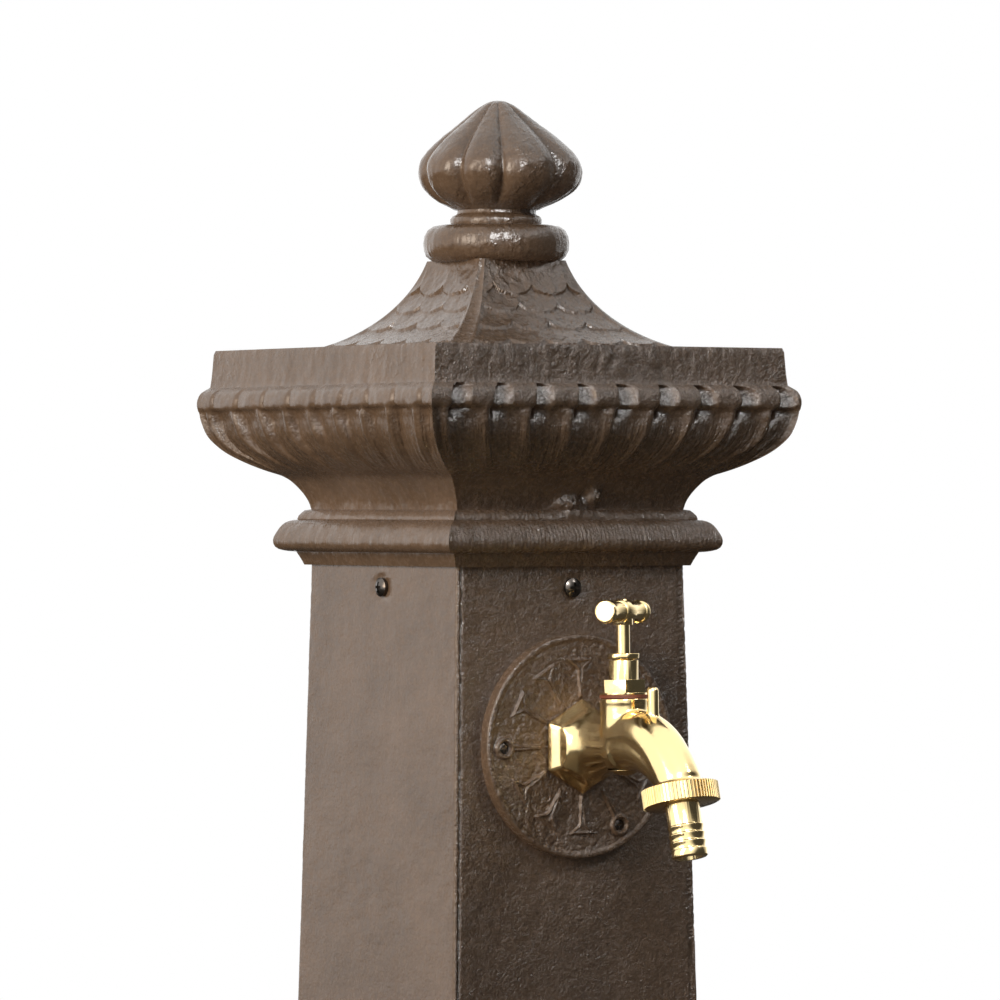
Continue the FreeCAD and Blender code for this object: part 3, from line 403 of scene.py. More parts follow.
# (half width, height) of each moulding from the bottom up, with its number of rows
capSections = [
    ([(59.6, 800.0), (60.6, 802.5), (62.0, 805.4)], 4),
    ([(62.0, 805.6), (65.8, 806.1), (68.6, 807.5), (69.4, 810.9), (67.7, 815.2), (65.9, 817.8),
      (63.6, 819.1), (61.6, 819.3)], 17),
    ([(61.8, 819.6), (61.2, 821.4), (59.4, 823.4)], 4),
    ([(57.4, 823.8), (58.4, 827.5), (60.5, 831.6), (63.8, 836.0), (66.6, 838.2)], 18),
    ([(67.4, 838.6), (72.5, 840.8), (78.0, 843.8), (83.4, 847.5), (87.2, 851.3), (90.1, 855.6),
      (91.9, 861.3), (92.6, 865.4)], 34),
    ([(92.9, 866.0), (93.3, 868.5), (93.1, 871.0), (92.0, 873.8), (89.4, 876.0)], 16),
    ([(89.1, 876.3), (88.6, 881.0), (88.2, 887.0), (87.9, 891.4), (87.4, 892.1)], 9),
    ([(84.0, 892.2), (66.0, 892.3), (56.0, 892.0)], 5),
]
capInside = [
    (52.0, 888.0), (80.0, 886.0), (82.0, 874.0), (60.0, 846.0), (52.0, 836.0),
    (48.2, 822.0), (48.2, 776.0), (52.2, 776.0), (52.2, 800.0),
]
# shares of each depth up the height
leafUp = [
    (838.6, 0.0), (841, 0.12), (845, 0.36), (850, 0.66), (857, 0.88), (862, 1.0),
    (865.0, 0.75), (867.0, 0.1), (869, 0.0),
]
notchUp = [(866.1, 1.0), (870.0, 0.9), (873.5, 0.0)]
linesUp = [(838.6, 0.0), (841, 0.8), (846, 1.0), (854, 0.8), (862, 0.35), (866, 0.0)]
# across one leaf from groove to groove: hollow at first, then a lit flank, the crest and a steep fall
leafAcross = [
    (0.0, 1.0), (0.05, 0.86), (0.14, 0.68), (0.35, 0.6), (0.56, 0.5), (0.68, 0.28),
    (0.78, 0.04), (0.84, 0.0), (0.9, 0.2), (0.96, 0.8), (1.0, 1.0),
]
# right of each groove the strip is scooped out, and the scoop faces the left and a little up
scoopAcross = [(0.0, 0.6), (0.05, 4.3), (0.4, 0.0), (1.0, 0.0)]
# lumps that the mould left on the front's neck: x, z, half width, half height, how far out
castingLumps = [
    (-2.0, 825.8, 5.6, 3.2, 3.8), (9.6, 828.6, 3.0, 3.4, 3.8),
    (4.6, 829.2, 2.0, 2.4, -1.8), (3.5, 822.9, 10.0, 1.0, 1.2),
]


def capRelief(side, x, share, half, height):
    # how far the casting's skin lies inside the mouldings' line
    f = capForm
    left = side == 3
    rest = f["leftRest"] if left else 1
    leafCount = f["leaves"] * (share + 1) / 2 + 0.5
    leafShare = (leafCount + 0.09 * ripple(x / 26, side * 5, height / 11)) % 1     # 0 in a groove
    inward = 0.0
    if f["leafFoot"] <= height <= f["beadTop"]:
        own = 1 + 0.3 * ripple(math.floor(leafCount) * 3.7, side * 2.3, 0)
        own *= f["leftBead"] if left and height > f["beadFoot"] else 1
        inward += f["leafDepth"] * own * between(leafUp, height) * between(leafAcross, leafShare)
        lines = math.sin(leafShare * 2 * math.pi * f["lines"] + 3.4 * ripple(x / 7, side * 7, height / 18))
        uneven = max(0.1, 0.55 + 0.9 * ripple(x / 12, side * 3, height / 14))
        inward += f["lineDepth"] * between(linesUp, height) * (0.5 + 0.5 * lines) * uneven
    if f["scoopFoot"] < height < f["beadTop"] + 0.1:
        scoop = smoothStep((leafShare - 0.02) / 0.04) * smoothStep((0.44 - leafShare) / 0.06)
        scoop *= smoothStep((height - f["scoopFoot"]) / 4) * smoothStep((f["beadTop"] + 0.1 - height) / 1.5)
        scoop *= f["leftScoop"] if left else 1
        above = height - f["beadFoot"]
        facet = between(scoopAcross, leafShare) + max(0, 0.32 * above - (f["beadHalf"] - half) * (above > 0))
        inward += (facet - rough((x + side * 300, half, height), 2.6, 0.55)) * scoop
        inward += f["notch"] * between(notchUp, height) * bell(leafShare - 0.05, 0.04) * rest
        ragged = f["brokenAt"] + 1.6 * ripple(x / 6, side * 11, 2)
        broken = max(0, 0.35 + ripple(x / 10, side * 13, 5))
        inward += f["brokenDepth"] * broken * bell(height - ragged, 0.8)
    if f["torusFoot"] < height < f["torusTop"]:
        inward += f["chatter"] * rest * (1 + math.sin(x * 3.3 + 2 * ripple(x / 5, side, 1)))
    if side == 0:
        for lumpX, lumpZ, wide, tall, out in castingLumps:
            swell = out * bell(x - lumpX, wide) * bell(height - lumpZ, tall)
            inward -= swell * (1 + rough((x, 5, height), 2.2, 0.5))
        if height > f["beadTop"]:
            inward -= rough((x, 7, height), 3.0, 0.4) * smoothStep((height - f["slabFoot"]) / 5)
    return inward - rough((x + side * 300, half, height), 6.0, f["castDepth"])


def makeCornice():
    outline = []
    for points, count in capSections:
        outline += smoothLine(points, count)
    mesh = bmesh.new()
    shares = steps(-1, 1, capForm["across"])[:-1]
    rows = []
    for index, (half, height) in enumerate(outline + capInside):
        row = []
        for side in range(4):
            for share in shares:
                x = share * half
                inward = capRelief(side, x, share, half, height) if index < len(outline) else 0.0
                inward *= min(1, (half - abs(x)) / capForm["mitre"])
                row.append(onSide(mesh, side, x, -min(half - inward, capForm["stepHalf"]), height))
        rows.append(row)
    gridFaces(mesh, rows, closedAlong=True)
    return settle(newPiece(mesh, "cornice", "cap", 50), "cap")


# Roof: a hollow-sided pyramid with rows of round-ended scales between four hip strips
roofForm = {
    "top": 930.0, "base": 892.2, "baseHalf": 60.0, "topHalf": 22.0, "midHalf": 34.54, "midHeight": 908.25,
    "hipBase": 10.0, "hipTop": 2.2, "scaleWidth": 19.0, "scaleDepth": 1.25, "scaleDrop": 6.0, "sunk": 0.9,
    "rowEnds": (16.5, 26.0, 37.0, 50.5), "rowsMeasuredOn": 54.5, "across": 130, "along": 84,
    "castDepth": 0.25, "underside": ((59.0, 890.5), (20.0, 890.5)),
}


def arcThrough(a, b, c, count):
    # points on the round arc through three points
    d = 2 * (a[0] * (b[1] - c[1]) + b[0] * (c[1] - a[1]) + c[0] * (a[1] - b[1]))
    sq = [p[0] ** 2 + p[1] ** 2 for p in (a, b, c)]
    ux = (sq[0] * (b[1] - c[1]) + sq[1] * (c[1] - a[1]) + sq[2] * (a[1] - b[1])) / d
    uy = (sq[0] * (c[0] - b[0]) + sq[1] * (a[0] - c[0]) + sq[2] * (b[0] - a[0])) / d
    radius = math.dist((ux, uy), a)
    start = math.atan2(a[1] - uy, a[0] - ux)
    end = math.atan2(c[1] - uy, c[0] - ux)
    if end - start > math.pi:
        end -= 2 * math.pi
    if start - end > math.pi:
        end += 2 * math.pi
    return [(ux + radius * math.cos(t), uy + radius * math.sin(t)) for t in steps(start, end, count)]


def scaleLift(side, x, here, ends):
    # how far a scale stands out, that many millimetres down the slope
    f = roofForm
    for number in range(1, len(ends)):
        bottom, above = ends[number], ends[number - 1]
        cell = x / f["scaleWidth"] + 0.5 * (number % 2) + 0.11 * ripple(x / 22, number, side)
        off = abs(cell - round(cell)) * 2
        curve = f["scaleDrop"] * min(1.0, (bottom - above) / 10) * (1 - math.sqrt(max(0, 1 - off ** 2)))
        if here <= bottom - curve:
            slope = 1 - min(1, (bottom - curve - here) / (bottom - above + 5))
            return f["scaleDepth"] * slope * (0.8 if number > 1 else 1)
    return 0.0


def makeRoof():
    f = roofForm
    through = [(f["topHalf"], f["top"]), (f["midHalf"], f["midHeight"]), (f["baseHalf"], f["base"])]
    line = arcThrough(*through, f["along"])
    down = [0.0]
    for a, b in zip(line, line[1:]):
        down.append(down[-1] + math.dist(a, b))
    ends = [0.0] + [e * down[-1] / f["rowsMeasuredOn"] for e in f["rowEnds"]]
    mesh = bmesh.new()
    rows = []
    for index, (half, height) in enumerate(line):
        here = down[index]
        hip = f["hipTop"] + (f["hipBase"] - f["hipTop"]) * (here / down[-1]) ** 1.2
        reach = half - hip / math.sqrt(2)
        ahead, behind = line[min(index + 1, len(line) - 1)], line[max(index - 1, 0)]
        run = Vector((ahead[0] - behind[0], ahead[1] - behind[1])).normalized()
        out = Vector((-run.y, run.x))                       # away from the roof, in (half, height)
        row = []
        for side in range(4):
            for share in steps(-1, 1, f["across"]):
                x = share * reach
                fade = smoothStep((reach - abs(x)) / 3.5) * smoothStep((here - 1.5) / 4)
                lift = (scaleLift(side, x, here, ends) - f["sunk"]) * fade
                lift += rough((x + side * 200, here, 3), 5.0, f["castDepth"]) * fade
                row.append(onSide(mesh, side, x, -(half + out.x * lift), height + out.y * lift))
            dip = 0.35 + 0.5 * here / down[-1]              # the hip strip is slightly hollow
            for share in steps(0, 1, 9)[1:-1]:
                p = Vector((reach, -half)).lerp(Vector((half, -reach)), share)
                sink = dip * (1 - (2 * share - 1) ** 2)
                row.append(onSide(mesh, side, p.x - sink * 0.7, p.y + sink * 0.7, height - sink * 0.4))
        rows.append(row)
    foot = rows[-1]
    for half, height in f["underside"]:
        inner = half / f["baseHalf"]
        rows.append([mesh.verts.new((v.co.x * inner, v.co.y * inner, height / 1000)) for v in foot])
    gridFaces(mesh, rows)
    mesh.faces.new(rows[0])
    mesh.faces.new(rows[-1])
    bmesh.ops.triangulate(mesh, faces=[face for face in mesh.faces if len(face.verts) > 4])
    return settle(newPiece(mesh, "roof", "cap", 50), "cap")


cornice = makeCornice()
roof = makeRoof()
print("cap made:", len(cornice.data.polygons) + len(roof.data.polygons), "faces")

# Finial: nine-lobed onion on rings, cast with V grooves between the lobes
finialForm = {
    "around": 360, "depth": 4.3, "sharp": 3.2, "wide": 1.02, "onionFoot": 951.5,
    "sideways": 2.1, "leanFrom": 950, "leanOver": 14, "backFrom": 970, "backOver": 28, "back": 0.6,
    "grooves": (-74, -32, 1, 47, 87, 127, 167, 207, 247),      # degrees from the view's direction
    "crack": 20, "crackDepth": 1.0, "crackFoot": 930, "crackTop": 945,
}
# (radius, height, share of the lobes) up to the onion, and the onion's own (radius, height)
finialRings = [
    (24.0, 929.2, 0), (27.4, 929.9, 0), (29.8, 931.8, 0), (31.0, 934.6, 0), (31.2, 937.5, 0), (30.8, 940.4, 0),
    (29.4, 943.0, 0), (27.0, 944.6, 0), (23.5, 945.2, 0), (19.2, 945.2, 0), (19.6, 946.4, 0), (19.6, 947.6, 0),
    (18.8, 949.0, 0), (17.2, 949.6, 0), (16.7, 950.3, 0), (16.8, 951.6, 0.05),
]
finialOnion = [
    (17.6, 951.8), (20.4, 953.2), (24.4, 955.0), (29.2, 958.0), (32.6, 961.4), (34.3, 965.0),
    (34.8, 968.6), (34.0, 972.2), (31.6, 975.8), (28.0, 979.6), (24.4, 982.8), (20.6, 985.8),
    (16.6, 988.9), (12.4, 992.2), (8.6, 995.2), (5.4, 997.2), (2.4, 998.3), (0.0, 998.5),
]


def makeFinial():
    f = finialForm
    toCamera = math.degrees(math.atan2(-math.cos(turn), math.sin(turn)))
    grooves = sorted((toCamera + g) % 360 for g in f["grooves"])
    profile = list(finialRings)
    for radius, height in smoothLine(finialOnion, 64)[:-1]:
        radius *= f["wide"]
        profile.append((radius, height, min(1.0, radius / 30) * smoothStep((height - f["onionFoot"]) / 5)))
    mesh = bmesh.new()
    rows = []
    for radius, height, lobed in profile:
        # the casting leans a little to the right of the view, and partly back again
        back = 1 - f["back"] * smoothStep((height - f["backFrom"]) / f["backOver"])
        drift = f["sideways"] * smoothStep((height - f["leanFrom"]) / f["leanOver"]) * back
        aside = Vector((math.cos(turn), math.sin(turn), 0)) * drift
        row = []
        for i in range(f["around"]):
            angle = 360 * i / f["around"]
            across, deep = math.cos(math.radians(angle)), math.sin(math.radians(angle))
            ahead = min((g - angle) % 360 for g in grooves)
            behind = min((angle - g) % 360 for g in grooves)
            off = 1 - 2 * min(ahead, behind) / (ahead + behind)      # 1 in a groove, 0 on a lobe's back
            r = radius - f["depth"] * lobed * off ** f["sharp"]
            if f["crackFoot"] < height < f["crackTop"]:
                r -= f["crackDepth"] * bell(angle - toCamera - f["crack"] - 1.5 * math.sin(height), 1.3)
            spot = Vector((r * across, r * deep, height))
            r += rough(spot, 7.0, 0.28) + rough(spot, 2.2, 0.16)
            row.append(mesh.verts.new((Vector((r * across, r * deep, height)) + aside) / 1000))
        rows.append(row)
    gridFaces(mesh, rows)
    for row in (rows[0], rows[-1]):
        closeToMiddle(mesh, row, mesh.verts.new(sum((v.co for v in row), Vector()) / len(row)))
    return settle(newPiece(mesh, "onionFinial", "finial", 60), "finial")


finial = makeFinial()
print("finial made:", len(finial.data.polygons), "faces")

# Column: a square casting that tapers, with flash at its corners and shallow seats round the screws
columnForm = {
    "bottom": 150.0, "top": 800.0, "topHalf": 57.6, "slope": 0.0228, "wall": 5.0, "corner": 1.3,
    "across": 34, "closeFrom": 640.0, "coarse": 90, "close": 200,
    "byCorner": (0.0, 0.4, 0.8, 1.2, 1.6, 2.1, 2.7, 3.5, 4.6, 6.0), "nextAfter": 8,
    "tapHeight": 724.5, "rosette": 48.0, "screwHeights": (791.0, 159.0), "seat": 5.4, "seatDepth": 0.7,
    "flashDepth": 0.7, "flashWide": 4.4, "seamDepth": 1.1, "seamIn": 2.2, "seamWide": 0.55,
}


def columnHalf(height):
    return columnForm["topHalf"] + columnForm["slope"] * (columnForm["top"] - height)


def onFace(across, up, out):
    # a place square to the leaning front face, from the middle of the tap's rosette
    lean = math.atan(columnForm["slope"])
    y = -columnHalf(columnForm["tapHeight"]) - out * math.cos(lean) + up * math.sin(lean)
    return Vector((across, y, columnForm["tapHeight"] + up * math.cos(lean) + out * math.sin(lean)))


def columnSkin(side, x, half, height):
    # how far the casting stands out from its plane
    f = columnForm
    out = rough((x + 300 * side, half, height), 16.0, 0.16)
    out += rough((x, side, height), 3.0, 0.1 if side == 0 else 0.04)
    toRight, toLeft = half - x, half + x
    if side == 0:
        # flash filed off along the right corner and a seam beside the left one
        teeth = math.sin(height * 3.2 + 0.9 * toRight + 3 * ripple(2, 2, height / 4))
        flash = 0.35 + 0.8 * ripple(9, 4, height / 8) + 0.4 * teeth
        out -= f["flashDepth"] * max(0, flash) * smoothStep(f["flashWide"] - toRight)
        seam = 0.7 + 0.8 * ripple(7, 2, height / 9)
        fromSeam = toLeft - f["seamIn"] - 0.5 * ripple(1, 1, height / 6)
        out -= f["seamDepth"] * max(0, seam) * bell(fromSeam, f["seamWide"])
        out *= smoothStep((math.hypot(x, height - f["tapHeight"]) - f["rosette"]) / 3)
    for screwHeight in f["screwHeights"]:
        gap = math.hypot(x, height - screwHeight)
        out = out * smoothStep((gap - 4) / 3) - f["seatDepth"] * smoothStep((f["seat"] + 0.8 - gap) / 1.2)
    return out


def makeColumn():
    f = columnForm
    mesh = bmesh.new()
    rows = []
    for height in steps(f["bottom"], f["closeFrom"], f["coarse"]) + steps(f["closeFrom"], f["top"], f["close"])[1:]:
        half = columnHalf(height)
        flat = half - f["corner"]
        inner = flat - f["nextAfter"]
        stations = [-flat + d for d in f["byCorner"]] + steps(-inner, inner, f["across"])
        stations += [flat - d for d in reversed(f["byCorner"])]
        row = []
        for side in range(4):
            for x in stations:
                row.append(onSide(mesh, side, x, -half - columnSkin(side, x, half, height), height))
            chipped = 0.5 * max(0, ripple(5, 3, height / 2)) if side == 0 else 0
            for t in (0.2, 0.4, 0.6, 0.8):
                turned = t * math.pi / 2
                radius = f["corner"] + rough((side * 50, turned, height), 3.0, 0.12) - chipped
                x, y = flat + radius * math.sin(turned), -flat - radius * math.cos(turned)
                row.append(onSide(mesh, side, x, y, height))
        rows.append(row)
    for height, around in ((f["top"], rows[-1]), (f["bottom"], rows[0])):
        inner = 1 - f["wall"] / columnHalf(height)
        rows.append([mesh.verts.new((v.co.x * inner, v.co.y * inner, v.co.z)) for v in around])
    gridFaces(mesh, rows, closedAlong=True)
    return settle(newPiece(mesh, "castColumn", "column", 50), "column")


column = makeColumn()
print("column made:", len(column.data.polygons), "faces")

# Rosette: round cast plate with trumpet-ended ridges and three screw bosses
rosetteForm = {
    "radius": 47.0, "front": 5.5, "rim": 2.4, "field": 0.6, "castDepth": 0.3,
    "rings": 96, "around": 600, "firstRing": 17.0,
    "ridge": 1.1, "ridgeEvery": 30, "ridgeStart": 20.0, "ridgeEnd": 37.0, "ridgeHalf": 0.75,
    "flare": 5.2, "flareFrom": 31.0, "flareOver": 6.3, "hollow": 0.6, "hollowFrom": 24.0,
    "bossRadius": 4.6, "bossCircle": 38.5, "bossHours": (9, 1, 5), "bossHeight": 1.3,
    "holeRadius": 3.1, "holeDepth": 1.6,
    "edge": ((0.35, 5.1), (0.05, 4.6), (0.0, 3.6), (0.0, -0.7)),      # (inside the radius, height over the wall)
}


def ridgeRelief(radius, angle, bosses):
    # height above the field
    f = rosetteForm
    up = f["field"] * smoothStep((radius - (f["radius"] - f["rim"] - 0.8)) / 1.4)
    nearest = f["ridgeEvery"] * round(angle / f["ridgeEvery"])
    off = math.radians(angle - nearest)
    across, along = abs(radius * math.sin(off)), radius * math.cos(off)
    hasBoss = any(abs((nearest - b + 180) % 360 - 180) < 1 for b in bosses)
    if hasBoss:
        widening = 0.6 * (along - f["ridgeStart"]) / (f["ridgeEnd"] - f["ridgeStart"])
    else:
        widening = 0.5 * smoothStep((along - f["ridgeStart"]) / 13)
        widening += f["flare"] * smoothStep((along - f["flareFrom"]) / f["flareOver"]) ** 1.7
    wide = f["ridgeHalf"] + widening
    body = smoothStep((wide - across) / 0.6 + 0.5)
    ends = smoothStep((along - f["ridgeStart"]) / 1.2) * smoothStep((f["ridgeEnd"] - along) / 0.7)
    hollow = f["hollow"] * smoothStep((wide - across - 0.5) / 0.6)
    hollow *= smoothStep((along - f["hollowFrom"]) / 6) * smoothStep((f["ridgeEnd"] - 0.9 - along) / 0.7)
    up = max(up, (f["ridge"] - hollow) * body * ends)
    if hasBoss:
        gap = math.hypot(along - f["bossCircle"], across)
        up = max(up, f["bossHeight"] * smoothStep((f["bossRadius"] + 0.4 - gap) / 0.9))
        up -= f["holeDepth"] * smoothStep((f["holeRadius"] - gap) / 0.35)
    a = math.radians(angle)
    return up + rough((radius * math.cos(a), radius * math.sin(a), 40), 2.6, f["castDepth"])


def makeRosette():
    f = rosetteForm
    bosses = [90 - 30 * hour for hour in f["bossHours"]]
    mesh = bmesh.new()

    def place(radius, angle, out):
        a = math.radians(angle)
        return mesh.verts.new(onFace(radius * math.cos(a), radius * math.sin(a), out) / 1000)

    base = f["front"] - f["field"] - 0.1
    angles = [360 * i / f["around"] for i in range(f["around"])]
    rows = []
    for radius in steps(f["firstRing"], f["radius"] - 0.9, f["rings"]):
        rows.append([place(radius, a, base + ridgeRelief(radius, a, bosses)) for a in angles])
    for inside, out in f["edge"]:
        radius = f["radius"] - inside
        rows.append([place(radius + rough((radius, a / 4, 8), 2.0, 0.12), a, out) for a in angles])
    gridFaces(mesh, rows)
    closeToMiddle(mesh, rows[0], mesh.verts.new(onFace(0, 0, base) / 1000))
    closeToMiddle(mesh, rows[-1], mesh.verts.new(onFace(0, 0, f["edge"][-1][1]) / 1000))
    return settle(newPiece(mesh, "ridgedRosette", "rosette", 60), "rosette")


rosette = makeRosette()
print("rosette made:", len(rosette.data.polygons), "faces")

# Tap body: one buffed casting; its plain forms are joined, run into each other and bored through
castTap = {
    "voxel": 0.45, "smoothing": 16, "blending": 110, "sweepAround": 48,
    "reach": 37.0, "shank": 10.4, "shankEnd": -24.5, "shankIn": 7.0,
    "chamber": 9.9, "lip": 10.1, "chamberTop": 20.4, "chamberBottom": -12.0,
    "lug": 2.5, "lugReach": 20.9, "lugFoot": 2.0, "lugTop": 25.0,
    "spout": 9.4, "spoutSwell": 0.5, "spoutRings": 26, "root": 9.7, "rootTaper": 0.06, "rootRings": 14,
    "spoutLean": 13.5, "spoutTip": (-38.52, -13.52), "collar": 13.1, "collarAlong": (0.9, 1.6, 5.4),
    "shankBore": 6.5, "chamberBore": 7.2, "spoutBore": 5.0, "chamberFloor": -9.4,
}
# from the wall outwards: (radius, distance from the wall, width of the hexagon it is cut to), then the round flare
tapFlange = [
    (19.8, 5.5, 34.4), (20.2, 6.0, 35.0), (20.0, 7.4, 34.0), (18.6, 10.6, 30.6),
    (17.6, 11.8, 29.4), (16.2, 13.4, 29.0), (14.9, 15.0, 29.0), (13.6, 17.0, 30.0),
]
tapFlare = [(12.5, 19.4), (11.6, 22.4), (10.9, 26.0), (10.3, 31.0), (9.8, 37.0)]
# the spout's middle line in (y, z) from the chamber, and a second one that fills its root
spoutLine = [(0.0, 4.8), (-9.0, 5.6), (-17.0, 4.8), (-25.5, 0.6), (-32.3, -5.6), (-38.1, -13.0), (-38.9, -15.2)]
rootLine = [(0.0, 0.0), (-12.0, -0.4), (-20.0, -2.4), (-27.5, -6.2), (-32.0, -9.0)]


def tapPlace():
    # the tap's own axes: X across, Y back to the wall, Z up the spindle
    middle = onFace(0, 0, castTap["reach"])
    up = (onFace(0, 1, 0) - onFace(0, 0, 0)).normalized()
    across = Vector((1, 0, 0))
    return Matrix.Translation(middle / 1000) @ Matrix((across, up.cross(across), up)).transposed().to_4x4()


def lathe(mesh, outline, around=72, place=None):
    # rings about Z with closed ends: (radius, height), or with a third value,
    # the width of the hexagon that they are cut to
    rows = []
    for radius, height, *flats in outline:
        row = []
        for i in range(around):
            angle = 2 * math.pi * i / around
            r = radius
            if flats:
                r = min(radius, flats[0] / 2 / math.cos((angle + math.pi / 6) % (math.pi / 3) - math.pi / 6))
            spot = Vector((r * math.cos(angle), r * math.sin(angle), height)) / 1000
            row.append(mesh.verts.new(place @ spot if place else spot))
        rows.append(row)
    gridFaces(mesh, rows)
    mesh.faces.new(rows[0][::-1])
    mesh.faces.new(rows[-1])


def sweep(mesh, path, radii):
    # round sections along a path in the tap's middle plane, given as (y, z)
    rows = []
    angles = steps(0, 2 * math.pi, castTap["sweepAround"] + 1)[:-1]
    for i, (y, z) in enumerate(path):
        before, after = path[max(i - 1, 0)], path[min(i + 1, len(path) - 1)]
        run = Vector((0, after[0] - before[0], after[1] - before[1])).normalized()
        across, lift = Vector((1, 0, 0)), run.cross(Vector((1, 0, 0)))
        ring = [(across * math.cos(t) + lift * math.sin(t)) * radii[i] for t in angles]
        rows.append([mesh.verts.new((Vector((0, y, z)) + spoke) / 1000) for spoke in ring])
    gridFaces(mesh, rows)
    mesh.faces.new(rows[0][::-1])
    mesh.faces.new(rows[-1])


def looseObject(mesh, name):
    bmesh.ops.recalc_face_normals(mesh, faces=mesh.faces)
    return newObject(mesh, name)


def pastTip(distance):
    # a place that far down the outlet's own line, in (y, z)
    (y, z), lean = castTap["spoutTip"], math.radians(castTap["spoutLean"])
    return y - math.sin(lean) * distance, z - math.cos(lean) * distance


def blendShare(y, z):
    # where flare, chamber and spout meet they run into each other in wide hollows
    top = bell(y + 10, 9) * bell(z - 7, 8)
    back = bell(y - 11, 6)
    under = bell(y + 12, 10) * bell(z + 9, 6)
    return max(top, back, under)


def makeCastTap():
    t = castTap
    outward = Matrix.Rotation(math.pi / 2, 4, "X")        # +Z turned to -Y, out of the wall
    wall = -t["reach"]
    mesh = bmesh.new()
    flange = [(r, wall + out, across) for r, out, across in tapFlange]
    lathe(mesh, flange + [(r, wall + out) for r, out in tapFlare], 120, outward)
    lathe(mesh, [(t["shank"], wall + t["shankEnd"]), (t["shank"], wall + t["shankIn"])], 72, outward)
    low, r, top = t["chamberBottom"], t["chamber"], t["chamberTop"]
    dome = [(r * math.sin(v), low + r * (1 - math.cos(v))) for v in steps(0.12, math.pi / 2, 9)]
    lathe(mesh, dome + [(r, top - 3.0), (t["lip"], top - 2.0), (t["lip"], top)])
    lug, lugTop = t["lug"], t["lugTop"]
    lathe(mesh, [(lug, t["lugFoot"]), (lug, lugTop - 0.9), (lug - 0.8, lugTop), (0.6, lugTop + 0.1)], 24,
          Matrix.Translation(Vector((0, -t["lugReach"], 0)) / 1000))
    path = smoothLine(spoutLine, t["spoutRings"])
    sweep(mesh, path, steps(t["spout"] + t["spoutSwell"], t["spout"], t["spoutRings"]))
    root = smoothLine(rootLine, t["rootRings"])
    sweep(mesh, root, [t["root"] - t["rootTaper"] * i for i in range(t["rootRings"])])
    sweep(mesh, [pastTip(s) for s in t["collarAlong"]], [t["spout"], t["collar"], t["collar"]])
    piece = looseObject(mesh, "buffedTap")
    remesh = piece.modifiers.new("one skin", "REMESH")
    remesh.mode = "VOXEL"
    remesh.voxel_size = t["voxel"] / 1000
    remesh.use_smooth_shade = True
    soften = piece.modifiers.new("buffing", "SMOOTH")
    soften.factor = 0.5
    soften.iterations = t["smoothing"]
    skin = evaluated(piece)
    blend = piece.vertex_groups.new(name="blend")
    for v in skin.vertices:
        y, z = v.co.y * 1000, v.co.z * 1000
        share = blendShare(y, z)
        if share > 0.05 and z < 16:
            blend.add([v.index], share * smoothStep((16 - z) / 4), "REPLACE")
    run = piece.modifiers.new("wide hollows", "SMOOTH")
    run.factor = 0.5
    run.iterations = t["blending"]
    run.vertex_group = "blend"
    evaluated(piece)
    bores = []
    for name in ("inlet", "chamber", "outlet"):
        mesh = bmesh.new()
        if name == "inlet":
            lathe(mesh, [(t["shankBore"], wall + t["shankEnd"] - 1), (t["shankBore"], -5.0)], 72, outward)
        elif name == "chamber":
            lathe(mesh, [(t["chamberBore"], t["chamberFloor"]), (t["chamberBore"], top + 1)])
        else:
            waterWay = [(-5.0, 2.0)] + path[6:] + [pastTip(7)]
            sweep(mesh, waterWay, [t["spoutBore"]] * len(waterWay))
        bore = looseObject(mesh, name + "Bore")
        cut = piece.modifiers.new(name, "BOOLEAN")
        cut.operation = "DIFFERENCE"
        cut.object = bore
        bores.append(bore)
    made = evaluated(piece)
    for bore in bores:
        bpy.data.objects.remove(bore)
    made.transform(tapPlace())
    made.materials.clear()
    made.materials.append(finishes["polished_brass"])
    made.shade_smooth()
    return settle(piece, "tap_body")


buffedTap = makeCastTap()
print("tap body made:", len(buffedTap.data.polygons), "faces")

# Union nut: a turned ring with a row of fine ridges, set out by Geometry Nodes
knurledNut = {
    "ridges": 66, "ridgeRadius": 0.42, "ridgeShorter": 0.7, "around": 96, "low": 2.0, "high": 10.0,
    "radius": 15.55, "chamfer": 0.5, "chamferHeight": 0.4, "bore": 13.4, "tailBore": 7.4, "lip": 1.6,
    # where the outlet lies from the spindle's line
    "outletReach": 18.2, "outletBend": 20.9, "outletHeight": 2.5,
}


def alongOutlet():
    # from a place along +Z to the end of the spout's bend, leaning outwards, on the tilted tap
    n = knurledNut
    lean = math.radians(castTap["spoutLean"])
    up = n["outletHeight"] - n["outletBend"] * (1 - math.sin(lean))
    out = castTap["reach"] + n["outletReach"] + n["outletBend"] * math.cos(lean)
    end = onFace(0, up, out) / 1000
    down = (onFace(0, -math.cos(lean), math.sin(lean)) - onFace(0, 0, 0)).normalized()
    side = Vector((1, 0, 0))
    return Matrix.Translation(end) @ Matrix((side, down.cross(side), down)).transposed().to_4x4()


